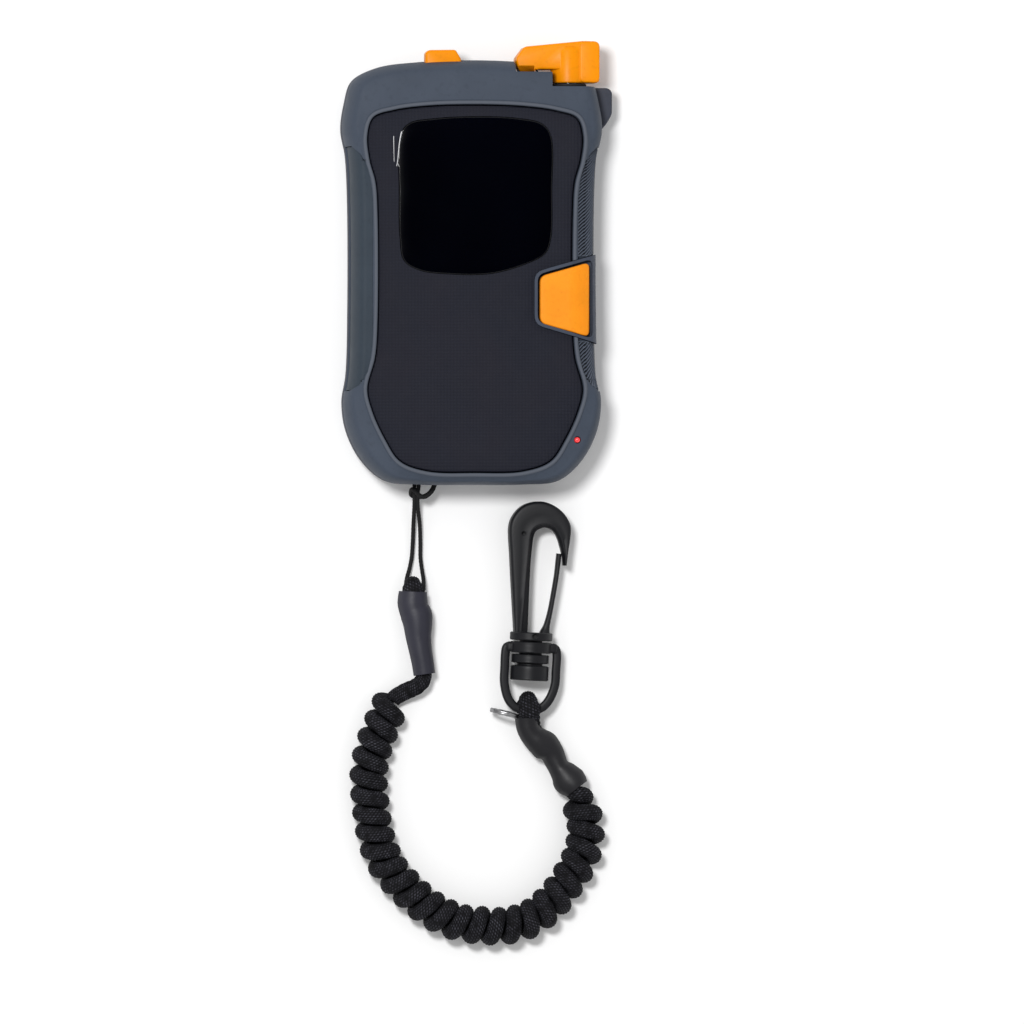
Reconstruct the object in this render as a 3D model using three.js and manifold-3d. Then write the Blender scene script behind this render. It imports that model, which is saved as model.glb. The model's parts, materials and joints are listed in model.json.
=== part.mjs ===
// Avalanche transceiver: a pocket radio beacon with a switch lever, a side button, a battery
// compartment in its back, and a coiled leash that ends in a swivel snap hook.
// Millimetres. The case lies on its back: +Z points out of the screen, +Y towards the lever,
// and the origin is the middle of the flat back.

import * as THREE from 'three';
import { mergeVertices } from 'three/addons/utils/BufferGeometryUtils.js';
import Module from 'manifold-3d';

const wasm = await Module();
wasm.setup();

// ---------------------------------------------------------------------------
// Driving dimensions

const GAP = 0.3; // clearance between neighbouring pieces
const JOINT_GAP = 0.2; // height of the joint between the two shells
const FAR = 60; // reach of a cutting block that has to pass the case

const CASE_DEPTH = 24;
const CASE_WALL = 2.6;
const EDGE_INSET = 4; // how far the rounded case edge pulls in
const EDGE_HEIGHT = 8; // how tall that rounding is
const CASE_EDGE_STEPS = 2;
const CAVITY_EDGE_INSET = 3;
const SPLIT = 11; // height of the joint between the back and the front shell
const FLOOR = 2.6; // thickness of the back

// Right half of the case outline, from the middle of the top end to the middle of the bottom end.
const CASE_HALF = [
  [0, 57.2], [15, 56.6], [26, 55], [32.2, 51.6], [34.2, 45.5], [35.1, 38.5], [33.9, 31.5],
  [33.3, 20], [33.2, -10], [33.7, -27.5], [34.8, -35], [33.6, -43], [29.4, -51], [23.2, -56.2],
  [14, -57.2], [0, -57.3],
];
// Right half of the opening that frames the dark face.
const FACE_HALF = [
  [0, 45], [13, 44.6], [22, 43.4], [27.6, 41.4], [29.2, 36.5], [28.6, 30], [27, 24], [26.45, 16],
  [26.45, -14], [27.1, -23], [29.2, -31.5], [27.9, -37.5], [24.4, -45.2], [20.4, -51], [13, -53.7],
  [0, -54.1],
];
const FACE_TOP = 22.6;
const FACE_UNDER = 19.4;
const FACE_FLANGE_TOP = 21.1;

// The display window has bowed sides and a lower right corner that rises more than the left one.
const WINDOW_OUTLINE = [
  [0, 41.7], [11, 41.3], [18, 39.8], [20.4, 36.6], [20.7, 22], [20.4, 9], [18.9, 5], [13, 1.9],
  [4, -0.5], [-7, -0.6], [-15, 0.4], [-19.2, 3], [-20.3, 9], [-20.5, 22], [-20.2, 36.6],
  [-17.8, 39.8], [-11, 41.1],
];
const WINDOW_TOP = 22.75;
const WINDOW_SEAT = 21.2;

// Recesses in the top right corner: the first for the lever's arm, the second for its hub.
const ARM_RECESS = { x: 11, y: 53.9 };
const HUB_RECESS = { x: 20.9, y: 50 };

// Inner edge of the grip that covers the waist, right side, from top to bottom.
const GRIP_EDGE = [
  [34.8, 35], [31.2, 31.6], [28.9, 27.5], [27.9, 20], [27.9, -19], [28.9, -27], [31.4, -30.6],
  [34.8, -32.8],
];
const GRIP_THICK = 1.2;

const LEVER = { x: 26.1, z: 14, hub: 4.9, base: 51.1, shaft: 2 };
const LEVER_OUTLINE = [
  [11.4, 57.6], [13.8, 60.8], [29.8, 62.4], [33.6, 62.3], [34.3, 60.8], [34.3, LEVER.base],
  [LEVER.x, LEVER.base], [LEVER.x, 54.9], [12.7, 54.3], [12.1, 55.4],
];

const OPTION = { x: [-13, -3.3], z: [12.2, 17.8], tip: 59.7 };

const BUTTON_CORNERS = [[17.4, -1.2], [30.9, 2.65], [30.9, -17.55], [17.4, -13.8]];
const BUTTON_FRAME_CORNERS = [[15.9, -0.1], [35.5, 5.5], [35.5, -19.9], [15.9, -14.2]];
const BUTTON_UNDER = 19;

const CELL = { radius: 5.15, length: 44.5, pitch: 11.2, z: 7.6, low: -44, lowFlipped: -46.3 };
const BAY = { x: 18, y: [-49, 2], roof: 13.2, wall: 3.2 };
const DOOR = { x: 19.9, hinge: -49.7, hingeZ: 0.95, end: 16.2, thick: 1.7 };
const LATCH = { y: 10, radius: 5.2, stem: 2 };

const SCREWS = [[-25.5, 24], [25.5, 24], [-24.5, -46], [24.5, -46], [-25, 46.5]];
const SCREW = { radius: 1.2, head: 2.4, length: 17, bore: 1.5, counterbore: 2.75, boss: 3 };
const BOARD = { z: [15.2, 16.8], x: 28, y: [-44, 46] };
const LED = { at: [27.6, -45.2], radius: 0.8, hole: 1.1 };
const LEASH_PIN = { x: -12, y: -55.4, radius: 1.1 };
const SPEAKER = { x: -10, y: 42, slots: 5, slotPitch: 3 };
const ANTENNA = { z: 7.2, radius: 3.2 };

// Cord routes.
const THIN_CORD = 0.6; // radius of the thin lanyard loop
const LEASH_ROUTE = [
  [-16.4, -85.7, 4.4], [-16, -81, 3], [-15.4, -76, 2], [-15.1, -70.5, 2.2], [-15.2, -65.5, 3.8],
  [-15.4, -61.5, 5.9], [-15.4, -58, 6.7], [-14.4, -54.5, 6.6], [-12, -53.3, 6.6],
  [-9.7, -54.5, 6.6], [-9.3, -57.4, 6.4], [-10.3, -59.6, 5.9], [-12.6, -60.6, 4.9],
  [-15, -60.4, 4.5], [-17, -60.2, 5.5], [-17.1, -60.3, 7.3], [-15.2, -60.5, 8.5],
  [-12.6, -60.6, 8.6], [-10.3, -59.6, 8.4], [-9.3, -57.4, 8.2], [-9.7, -54.5, 8.2],
  [-12, -53.3, 8.2], [-13.8, -54.6, 8.2], [-13.9, -57.6, 7.6], [-13.7, -60.8, 6.7],
  [-13.4, -64.5, 4.4], [-12.9, -70, 2.4], [-12.7, -76, 2.1], [-12.4, -81, 3], [-12.2, -85.4, 4.6],
];
const COIL_RADIUS = 5.4;
const COIL_LEAD_RADIUS = 2.4;
const COIL_LEAD_ROUTE = [
  [-12.1, -109, 5.2], [-12.1, -110.6, 5.2], [-13.1, -112.3, 5.3], [-15.2, -113.9, 5.4],
];
const COIL_ROUTE = [
  [-15.9, -114.4, 5.45], [-19.4, -117.2, 5.45], [-23, -121.3, 5.45],
  [-25.5, -126, 5.45], [-26.9, -131, 5.45], [-27.3, -136, 5.45], [-27, -141.5, 5.45],
  [-26.3, -147.2, 5.45], [-25, -153.5, 5.45], [-22.4, -159.8, 5.45], [-18.6, -164.6, 5.45],
  [-13.8, -169.3, 5.45], [-8, -173.4, 5.45], [-2.4, -175.6, 5.45], [3.6, -176.4, 5.45],
  [9.8, -176.5, 5.45], [15.4, -175.1, 5.45], [20.1, -172.2, 5.45], [24, -168.2, 5.45],
  [27.2, -163.6, 5.45], [30, -158.8, 5.45], [31.5, -153.4, 5.45], [31.4, -147.8, 5.45],
  [29.9, -142.6, 5.45],
];
const LEASH_SLEEVE_ROUTE = [
  [-15.2, -86, 4.9], [-14.6, -92, 4.9], [-13.7, -98, 5], [-13, -103.5, 5.1], [-12.1, -108.5, 5.2],
];
const END_SLEEVE_RADIUS = 4.2;
const END_SLEEVE_ROUTE = [
  [16.1, -120.3, 5.7], [16.5, -123, 5.4], [18.3, -126.2, 5], [20.8, -129, 4.7], [23.2, -132.4, 4.6],
  [25.3, -135.6, 4.6], [27.3, -138.3, 4.7], [29.1, -141.2, 4.9],
];

// The yoke hangs on the end loop. Everything from the yoke to the hook is drawn along its own
// axis, from the middle of the yoke's bar upwards, and then turned a little clockwise.
const YOKE = { x: 16, y: -118.1, z: 5.9, turn: -2.85, bar: 1.15 };
const YOKE_ROUTE = [
  [-7.1, 16.8], [-7.3, 12], [-7.1, 7.6], [-6, 4], [-3.7, 1.3], [0, 0], [3.7, 1.3], [6, 4],
  [7.1, 7.6], [7.3, 12], [7.1, 16.8],
];
const SWIVEL_X = -0.2;
const SWIVEL_POST = 3.1;
const HOOK_THICK = 6;
const HOOK_HEAD = { x: 0.6, y: 48.3, radius: 8.4 };
const GATE_THICK = 3.6;

// ---------------------------------------------------------------------------
// Solids

function solidOf(geometry) {
  const bare = geometry.index ? geometry.toNonIndexed() : geometry.clone();
  bare.deleteAttribute('normal');
  bare.deleteAttribute('uv');
  const merged = mergeVertices(bare, 1e-4);
  const corners = Array.from(merged.index.array);
  const triVerts = [];
  for (let i = 0; i < corners.length; i += 3) {
    const [a, b, c] = corners.slice(i, i + 3);
    if (a !== b && b !== c && c !== a) triVerts.push(a, b, c);
  }
  return new wasm.Manifold(new wasm.Mesh({
    numProp: 3,
    vertProperties: Float32Array.from(merged.attributes.position.array),
    triVerts: Uint32Array.from(triVerts),
  }));
}

function geometryOf(solid) {
  const mesh = solid.getMesh();
  const geometry = new THREE.BufferGeometry();
  geometry.setAttribute('position', new THREE.BufferAttribute(mesh.vertProperties, 3));
  geometry.setIndex(new THREE.BufferAttribute(mesh.triVerts, 1));
  geometry.computeVertexNormals();
  return geometry;
}

function block([x0, x1], [y0, y1], [z0, z1]) {
  const geometry = new THREE.BoxGeometry(x1 - x0, y1 - y0, z1 - z0);
  return solidOf(geometry.translate((x0 + x1) / 2, (y0 + y1) / 2, (z0 + z1) / 2));
}

// A round bar along one axis; `at` holds its place on the other two axes, in X, Y, Z order.
function round(axis, at, [from, to], radius, sides = 16) {
  const geometry = new THREE.CylinderGeometry(radius, radius, to - from, sides);
  const middle = (from + to) / 2;
  if (axis === 'x') geometry.rotateZ(Math.PI / 2).translate(middle, at[0], at[1]);
  if (axis === 'y') geometry.translate(at[0], middle, at[1]);
  if (axis === 'z') geometry.rotateX(Math.PI / 2).translate(at[0], at[1], middle);
  return solidOf(geometry);
}

function prism(outline, [from, to], bevel = 0) {
  const shape = new THREE.Shape(outline.map(([x, y]) => new THREE.Vector2(x, y)));
  const geometry = new THREE.ExtrudeGeometry(shape, {
    depth: to - from - 2 * bevel,
    bevelEnabled: bevel > 0,
    bevelThickness: bevel,
    bevelSize: bevel,
    bevelOffset: -bevel,
    bevelSegments: 2,
  });
  return solidOf(geometry.translate(0, 0, from + bevel));
}

function turned(profile, sides = 16) {
  const points = profile.map(([r, y]) => new THREE.Vector2(r, y));
  return solidOf(new THREE.LatheGeometry(points, sides));
}

function tube(route, width, height, sides, steps) {
  const section = [];
  for (let i = 0; i < sides; i += 1) {
    const angle = (2 * Math.PI * i) / sides;
    section.push(new THREE.Vector2(height * Math.cos(angle), width * Math.sin(angle)));
  }
  const points = route.map(([x, y, z = 0]) => new THREE.Vector3(x, y, z));
  const path = new THREE.CatmullRomCurve3(points, false, 'centripetal');
  return new THREE.ExtrudeGeometry(new THREE.Shape(section), { steps, extrudePath: path });
}

// ---------------------------------------------------------------------------
// Outlines

function smoothOutline(points, perPoint) {
  const corners = points.map(([x, y]) => new THREE.Vector3(x, y, 0));
  const curve = new THREE.CatmullRomCurve3(corners, true, 'centripetal');
  return curve.getPoints(points.length * perPoint).slice(0, -1).map((p) => [p.x, p.y]);
}

function mirrored(half) {
  const left = half.slice(1, -1).reverse().map(([x, y]) => [-x, y]);
  return [...half, ...left];
}

// Moves an outline that runs clockwise outwards by `distance`.
function grown(outline, distance) {
  return outline.map(([x, y], i) => {
    const [x0, y0] = outline.at(i - 1);
    const [x1, y1] = outline[(i + 1) % outline.length];
    const length = Math.hypot(x1 - x0, y1 - y0);
    return [x - (distance * (y1 - y0)) / length, y + (distance * (x1 - x0)) / length];
  });
}

function roundedOutline(corners, radius) {
  const shape = new THREE.Shape();
  corners.forEach(([x, y], i) => {
    const here = new THREE.Vector2(x, y);
    const before = new THREE.Vector2(...corners.at(i - 1)).sub(here).setLength(radius).add(here);
    const after = new THREE.Vector2(...corners[(i + 1) % corners.length])
      .sub(here).setLength(radius).add(here);
    if (i === 0) shape.moveTo(before.x, before.y);
    else shape.lineTo(before.x, before.y);
    shape.quadraticCurveTo(x, y, after.x, after.y);
  });
  return shape.getPoints(3).map((p) => [p.x, p.y]);
}

const caseOutline = smoothOutline(mirrored(CASE_HALF), 2);
const faceOutline = smoothOutline(mirrored(FACE_HALF), 2);
const windowOutline = smoothOutline(WINDOW_OUTLINE, 2);
const buttonOutline = roundedOutline(BUTTON_CORNERS, 2);
const buttonFrameOutline = roundedOutline(BUTTON_FRAME_CORNERS, 2.4);

// The outer form of the whole case, moved outwards by `grow` on every side, with both recesses.
function caseForm(grow) {
  const inset = grow < -2 ? CAVITY_EDGE_INSET : EDGE_INSET;
  const edge = EDGE_HEIGHT + grow;
  const outline = grown(caseOutline, grow).map(([x, y]) => new THREE.Vector2(x, y));
  const geometry = new THREE.ExtrudeGeometry(new THREE.Shape(outline), {
    depth: CASE_DEPTH - 2 * EDGE_HEIGHT,
    bevelThickness: edge,
    bevelSize: inset,
    bevelOffset: -inset,
    bevelSegments: CASE_EDGE_STEPS,
  });
  const tall = [-FAR, FAR];
  const armRecess = block([ARM_RECESS.x + grow, FAR], [ARM_RECESS.y + grow, 2 * FAR], tall);
  const hubRecess = block([HUB_RECESS.x + grow, FAR], [HUB_RECESS.y + grow, 2 * FAR], tall);
  return solidOf(geometry.translate(0, 0, EDGE_HEIGHT)).subtract(armRecess).subtract(hubRecess);
}

const outer = caseForm(0);
const cavity = caseForm(-CASE_WALL);
const everywhere = [-2 * FAR, 2 * FAR];
const wholeSlab = (heights) => block(everywhere, everywhere, heights);

// ---------------------------------------------------------------------------
// Scene graph

const transceiver = new THREE.Group();

function material(colour, roughness, metalness = 0) {
  return new THREE.MeshStandardMaterial({ color: colour, roughness, metalness });
}

const looks = {
  frame: () => material(0x4e5663, 0.75),
  shell: () => material(0x2b2f38, 0.7),
  face: () => material(0x282b37, 0.8),
  grip: () => material(0x3e4953, 0.85),
  glass: () => material(0x030408, 0.08),
  orange: () => material(0xfd9e2a, 0.4),
  rubber: () => material(0x15161a, 0.85),
  board: () => material(0x1d5b38, 0.6),
  dark: () => material(0x1b1c20, 0.6),
  ferrite: () => material(0x2d2a29, 0.7),
  copper: () => material(0xb0713a, 0.4, 0.9),
  steel: () => material(0xb8babd, 0.3, 1),
  cell: () => material(0x8d9299, 0.4, 0.6),
  led: () => material(0xe0262c, 0.3),
  cord: () => material(0x131316, 0.95),
  sleeve: () => material(0x464950, 0.6),
  hook: () => material(0x2a2b2d, 0.55),
};

function addPiece(name, solid, look, parent = transceiver) {
  const geometry = solid.isBufferGeometry ? solid : geometryOf(solid);
  const mesh = new THREE.Mesh(geometry, looks[look]());
  mesh.name = name;
  parent.add(mesh);
  return mesh;
}

// ---------------------------------------------------------------------------
// Case shells

const optionSlot = (extra, from, to) => block(
  [OPTION.x[0] - extra, OPTION.x[1] + extra], [from, to], [OPTION.z[0] - extra, OPTION.z[1] + extra],
);

const ledHole = round('z', LED.at, [12, FAR], LED.hole, 10);

function makeRearCover() {
  let cover = outer.subtract(cavity).intersect(wholeSlab([-1, SPLIT]));
  const inside = outer.intersect(wholeSlab([-1, SPLIT - JOINT_GAP]));
  const bayOuter = [-BAY.x - BAY.wall, BAY.x + BAY.wall];
  const bayBox = block(bayOuter, [BAY.y[0] - BAY.wall - 0.4, BAY.y[1] + 2], [0, BAY.roof + 1.2]);
  const latchBlock = block(bayOuter, [BAY.y[1], DOOR.end + 1.4], [0, 5.5]);
  const leashBlock = block([-19, -5], [-60, -50.5], [0, SPLIT - JOINT_GAP]).intersect(inside);
  cover = cover.add(bayBox).add(latchBlock).add(leashBlock);
  for (const at of SCREWS) {
    cover = cover.add(round('z', at, [1, SPLIT - GAP], SCREW.boss, 12).intersect(inside));
    cover = cover.subtract(round('z', at, [-1, 2.9], SCREW.counterbore, 12));
    cover = cover.subtract(round('z', at, [2, FAR], SCREW.bore, 8));
  }
  const fin = prism([[30, 50], [36.6, 50], [38.3, 48.4], [38.3, 43], [35.4, 39.4], [30, 36]], [2, SPLIT]);
  cover = cover.add(fin.subtract(cavity));
  const bay = block([-BAY.x, BAY.x], BAY.y, [-1, BAY.roof]);
  const doorRecess = block([-DOOR.x - GAP, DOOR.x + GAP], [-51.3, DOOR.end + GAP], [-1, 2.2]);
  const latchHole = round('z', [0, LATCH.y], [2, 4.6], LATCH.stem + 0.6);
  const leashPocket = block([-17, -7], [-60, -52.4], [3.6, 9.4]);
  const pinHole = round('z', [LEASH_PIN.x, LEASH_PIN.y], [1.5, 10.1], LEASH_PIN.radius + GAP, 12);
  cover = cover.subtract(bay).subtract(doorRecess).subtract(latchHole).subtract(leashPocket)
    .subtract(pinHole);
  for (let i = 0; i < SPEAKER.slots; i += 1) {
    const y = SPEAKER.y + SPEAKER.slotPitch * (i - (SPEAKER.slots - 1) / 2);
    const slot = block([SPEAKER.x - 6, SPEAKER.x + 6], [y - 0.6, y + 0.6], [-1, FLOOR + 1]);
    cover = cover.subtract(slot);
  }
  const sealGroove = caseForm(-0.9).subtract(caseForm(-2.1)).intersect(wholeSlab([SPLIT - 1, FAR]));
  return cover.subtract(sealGroove);
}

function gripPad(side, grow) {
  const outline = grown([...GRIP_EDGE, [FAR, -32.8], [FAR, 35]].reverse(), grow);
  const depth = GRIP_THICK + grow;
  const skin = caseForm(grow > 0 ? 1 : 0).subtract(caseForm(-depth));
  const pad = prism(outline, [SPLIT + 1 - grow, FAR]).intersect(skin);
  return side > 0 ? pad : pad.mirror([1, 0, 0]);
}

const buttonPlug = (grow, from) => prism(grown(buttonOutline, grow), [from, FAR]);
const buttonFrameForm = (grow) => prism(grown(buttonFrameOutline, grow), [SPLIT + 1 - grow, FAR])
  .intersect(caseForm(0.3 + grow).subtract(caseForm(-1.1 - grow)));

function makeGripFrame() {
  let frame = outer.subtract(cavity).intersect(wholeSlab([SPLIT + JOINT_GAP, FAR]));
  frame = frame.subtract(prism(faceOutline, [18, FAR]));
  frame = frame.subtract(gripPad(1, GAP)).subtract(gripPad(-1, GAP));
  frame = frame.subtract(buttonFrameForm(GAP)).subtract(buttonPlug(GAP, 17));
  frame = frame.subtract(ledHole);
  frame = frame.subtract(round('y', [LEVER.x, LEVER.z], [40, FAR], LEVER.shaft + GAP));
  return frame.subtract(optionSlot(GAP, 53.5, FAR));
}

function makeFrontCover() {
  const flange = caseForm(-CASE_WALL - GAP).intersect(wholeSlab([FACE_UNDER, FACE_FLANGE_TOP]));
  let cover = prism(grown(faceOutline, -GAP), [FACE_UNDER, FACE_TOP]).add(flange);
  cover = cover.subtract(prism(windowOutline, [WINDOW_SEAT, FAR]));
  cover = cover.subtract(block([-17.5, 17.5], [5, 38], [18, FAR]));
  for (const at of SCREWS) {
    const boss = round('z', at, [SPLIT + 0.6, FACE_UNDER + 0.2], 2.6, 12);
    cover = cover.add(boss).subtract(round('z', at, [SPLIT, 18], SCREW.bore, 10));
  }
  return cover.subtract(buttonPlug(GAP, 17)).subtract(ledHole);
}

addPiece('rear_cover', makeRearCover(), 'shell');
addPiece('grip_frame', makeGripFrame(), 'frame');
addPiece('front_cover', makeFrontCover(), 'face');
const windowPane = prism(grown(windowOutline, -GAP), [WINDOW_SEAT + 0.2, WINDOW_TOP]);
addPiece('display_window', windowPane, 'glass');
const filmTab = block([-22.2, -20.9], [29, 36.4], [FACE_TOP + 0.1, FACE_TOP + 0.35]);
addPiece('window_film_tab', filmTab, 'glass');

const splitSeal = caseForm(-1.1).subtract(caseForm(-1.9));
addPiece('case_seal', splitSeal.intersect(wholeSlab([SPLIT - 0.8, SPLIT + 0.1])), 'rubber');

addPiece('side_grip_left', gripPad(-1, 0), 'grip');
const rightPad = gripPad(1, 0).subtract(prism(grown(buttonFrameOutline, GAP), [0, FAR]));
const BUTTON_MIDDLE = -7;
const rightHalf = (heights) => rightPad.intersect(block(everywhere, heights, everywhere));
addPiece('side_grip_right_upper', rightHalf([BUTTON_MIDDLE, FAR]), 'grip');
addPiece('side_grip_right_lower', rightHalf([-FAR, BUTTON_MIDDLE]), 'grip');

function makeScrew() {
  const { radius, head, length } = SCREW;
  const profile = [[0, 0.5], [head - 0.3, 0.5], [head, 0.9], [head, 2.4], [radius, 2.5], [radius, length],
    [0, length]];
  return turned(profile, 10).subtract(block([-1.6, 1.6], [0, 1.1], [-0.35, 0.35]));
}

SCREWS.forEach(([x, y], i) => {
  const mesh = addPiece(`case_screw_${i + 1}`, makeScrew(), 'steel');
  mesh.rotation.x = Math.PI / 2;
  mesh.position.set(x, y, 0);
});

const leashPin = round('z', [LEASH_PIN.x, LEASH_PIN.y], [1.8, 9.9], LEASH_PIN.radius, 12);
addPiece('leash_pin', leashPin, 'steel');

// ---------------------------------------------------------------------------
// Battery bay

function makeDoor() {
  const { x, hinge, hingeZ, end, thick } = DOOR;
  const plate = block([-x, x], [hinge, end], [0, thick]);
  const recess = round('z', [0, LATCH.y], [-1, 1], LATCH.radius + GAP, 24);
  const hole = round('z', [0, LATCH.y], [-1, FAR], LATCH.stem + GAP);
  return plate.add(round('x', [hinge, hingeZ], [-x, x], 0.75, 12)).subtract(recess).subtract(hole);
}

function makeLatch() {
  const disc = round('z', [0, LATCH.y], [0.05, 0.95], LATCH.radius, 24);
  const stem = round('z', [0, LATCH.y], [0.5, 4.2], LATCH.stem);
  const coinSlot = block([-3.8, 3.8], [LATCH.y - 0.7, LATCH.y + 0.7], [-1, 0.55]);
  return disc.add(stem).subtract(coinSlot);
}

function makeDoorSeal() {
  const outerRing = block([-19.5, 19.5], [BAY.y[0] - 1.6, BAY.y[1] + 1.6], [1.78, 2.12]);
  return outerRing.subtract(block([-18.4, 18.4], [BAY.y[0] - 0.4, BAY.y[1] + 0.4], [0, 5]));
}

addPiece('battery_door', makeDoor(), 'shell');
addPiece('door_latch', makeLatch(), 'dark');
addPiece('door_seal', makeDoorSeal(), 'rubber');

const halfCell = CELL.length / 2;

function makeCell() {
  const r = CELL.radius;
  const button = 1.9;
  const shoulder = halfCell - 1;
  return turned([[0, -halfCell], [r - 0.75, -halfCell], [r, 0.5 - halfCell], [r, halfCell - 1.3],
    [r - 0.55, shoulder], [button, shoulder], [button, halfCell], [0, halfCell]]);
}

function makeContactSpring() {
  const foot = -halfCell - 3.4;
  const tip = -halfCell - GAP;
  return turned([[0, foot], [3.6, foot], [3.6, foot + 0.8], [1.8, tip], [0, tip]], 10);
}

// Cells stand head to tail, so each one is turned end for end against its neighbour.
for (let i = 0; i < 3; i += 1) {
  const flip = i === 1;
  const slot = new THREE.Group();
  const low = flip ? CELL.lowFlipped : CELL.low;
  slot.position.set((i - 1) * CELL.pitch, low + halfCell, CELL.z);
  slot.rotation.z = flip ? Math.PI : 0;
  transceiver.add(slot);
  const plate = block([-4, 4], [halfCell + GAP, halfCell + 0.7], [-3.6, 3.6]);
  addPiece(`battery_${i + 1}`, makeCell(), 'cell', slot);
  addPiece(`contact_spring_${i + 1}`, makeContactSpring(), 'steel', slot);
  addPiece(`contact_plate_${i + 1}`, plate, 'steel', slot);
}

// ---------------------------------------------------------------------------
// Electronics

function makeBoard() {
  let board = block([-BOARD.x, BOARD.x], BOARD.y, BOARD.z);
  board = board.subtract(block([20.5, FAR], [28.5, FAR], everywhere));
  for (const at of SCREWS) {
    board = board.subtract(round('z', at, everywhere, SCREW.boss + 0.1, 12));
  }
  return board;
}

addPiece('main_board', makeBoard(), 'board');
addPiece('display_module', block([-19, 19], [1.5, 40], [17, 19]), 'dark');
addPiece('antenna_long', round('y', [-26, ANTENNA.z], [-41, 19], ANTENNA.radius), 'ferrite');
addPiece('antenna_cross', round('x', [26, ANTENNA.z], [-19, 19], ANTENNA.radius), 'ferrite');
addPiece('antenna_upright', round('z', [7.5, 41], [3, 12.5], 6.2), 'copper');
addPiece('speaker', round('z', [SPEAKER.x, SPEAKER.y], [3, 6.6], 8.6, 24), 'dark');
addPiece('rotary_switch', block([21.6, 30.6], [30, 37], [8.5, 18.6]), 'dark');
addPiece('option_switch', block([-11, -5.3], [46.3, 50], [12.5, 17.5]), 'dark');
addPiece('side_button_switch', block([22, 27.5], [-10.2, -5.2], [BOARD.z[1] + 0.05, 18.1]), 'dark');
addPiece('status_led', round('z', LED.at, [18, 23.9], LED.radius, 10), 'led');

// ---------------------------------------------------------------------------
// Controls

function makeLever() {
  const arm = prism(LEVER_OUTLINE, [LEVER.z - 3.5, LEVER.z + 3.5], 0.7);
  const hub = round('y', [LEVER.x, LEVER.z], [LEVER.base, 61.6], LEVER.hub, 24);
  const bore = round('y', [LEVER.x, LEVER.z], [40, 57.8], LEVER.shaft + GAP);
  return arm.add(hub).subtract(bore);
}

addPiece('switch_lever', makeLever(), 'orange');
addPiece('lever_shaft', round('y', [LEVER.x, LEVER.z], [37.3, 57.5], LEVER.shaft), 'steel');
const leverSeal = round('y', [LEVER.x, LEVER.z], [HUB_RECESS.y + 0.1, LEVER.base - 0.2], LEVER.hub, 24);
const leverSealBore = round('y', [LEVER.x, LEVER.z], [40, FAR], LEVER.shaft + GAP);
addPiece('lever_seal', leverSeal.subtract(leverSealBore), 'rubber');

const optionHead = block(OPTION.x, [51.8, OPTION.tip], OPTION.z);
const optionFlange = block([OPTION.x[0] - 1.2, OPTION.x[1] + 1.2], [51.5, 52.9], [11.6, 17.6]);
addPiece('option_button', optionHead.add(optionFlange), 'orange');

const buttonHead = buttonPlug(0, BUTTON_UNDER).intersect(caseForm(0.15));
addPiece('side_button', buttonHead, 'orange');
const BUTTON_SHADOW_GAP = 0.65; // open gap round the side button
const buttonFrame = buttonFrameForm(0).subtract(buttonPlug(BUTTON_SHADOW_GAP, 0));
addPiece('side_button_frame', buttonFrame, 'frame');

// ---------------------------------------------------------------------------
// Leash

addPiece('lanyard_loop', tube(LEASH_ROUTE, THIN_CORD, THIN_CORD, 8, 66), 'cord');
addPiece('leash_sleeve', tube(LEASH_SLEEVE_ROUTE, 3.6, 3.9, 10, 5), 'sleeve');
addPiece('coil_lead', tube(COIL_LEAD_ROUTE, COIL_LEAD_RADIUS, COIL_LEAD_RADIUS, 8, 5), 'cord');
addPiece('coil_cord', tube(COIL_ROUTE, COIL_RADIUS, COIL_RADIUS, 10, 30), 'cord');
addPiece('end_sleeve', tube(END_SLEEVE_ROUTE, END_SLEEVE_RADIUS, END_SLEEVE_RADIUS, 10, 9), 'rubber');

function makeEndLoop() {
  const reach = 3.45;
  const route = [[YOKE.x + 0.1, YOKE.y - 1.2, YOKE.z - reach + 0.1]];
  for (let i = 0; i <= 8; i += 1) {
    const angle = (Math.PI * i) / 8;
    const y = YOKE.y + reach * Math.sin(angle);
    route.push([YOKE.x, y, YOKE.z - reach * Math.cos(angle)]);
  }
  route.push([YOKE.x + 0.1, YOKE.y - 1.2, YOKE.z + reach - 0.1]);
  return tube(route, 1.7, 1.7, 8, 12);
}

addPiece('end_loop', makeEndLoop(), 'cord');

const splitRing = addPiece('split_ring', new THREE.TorusGeometry(3.85, 0.5, 6, 20), 'steel');
splitRing.position.set(8.3, -119.1, 4.4);
splitRing.rotation.z = -0.22;
splitRing.rotation.order = 'ZXY';
splitRing.rotation.x = Math.PI / 2;

// ---------------------------------------------------------------------------
// Yoke, swivel and snap hook

const hookLine = new THREE.Group();
hookLine.position.set(YOKE.x, YOKE.y, YOKE.z);
hookLine.rotation.z = THREE.MathUtils.degToRad(YOKE.turn);
transceiver.add(hookLine);

function makeYoke() {
  let yoke = solidOf(tube(YOKE_ROUTE, YOKE.bar, YOKE.bar, 8, 20));
  yoke = yoke.add(block([-8, 8], [15.3, 18.4], [-2.4, 2.4]));
  yoke = yoke.add(round('y', [SWIVEL_X, 0], [15.3, 18.4], 5.4, 16));
  return yoke.subtract(round('y', [SWIVEL_X, 0], [0, FAR], SWIVEL_POST + GAP));
}

function makeSwivelCap() {
  const post = SWIVEL_POST;
  const profile = [[0, 7.9], [5.2, 7.9], [5.2, 11.8], [3.7, 12], [3.7, 12.5], [5.1, 12.7], [5.1, 14.9],
    [post, 14.9], [post, 20.4], [0, 20.4]];
  return geometryOf(turned(profile)).translate(SWIVEL_X, 0, 0);
}

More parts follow.
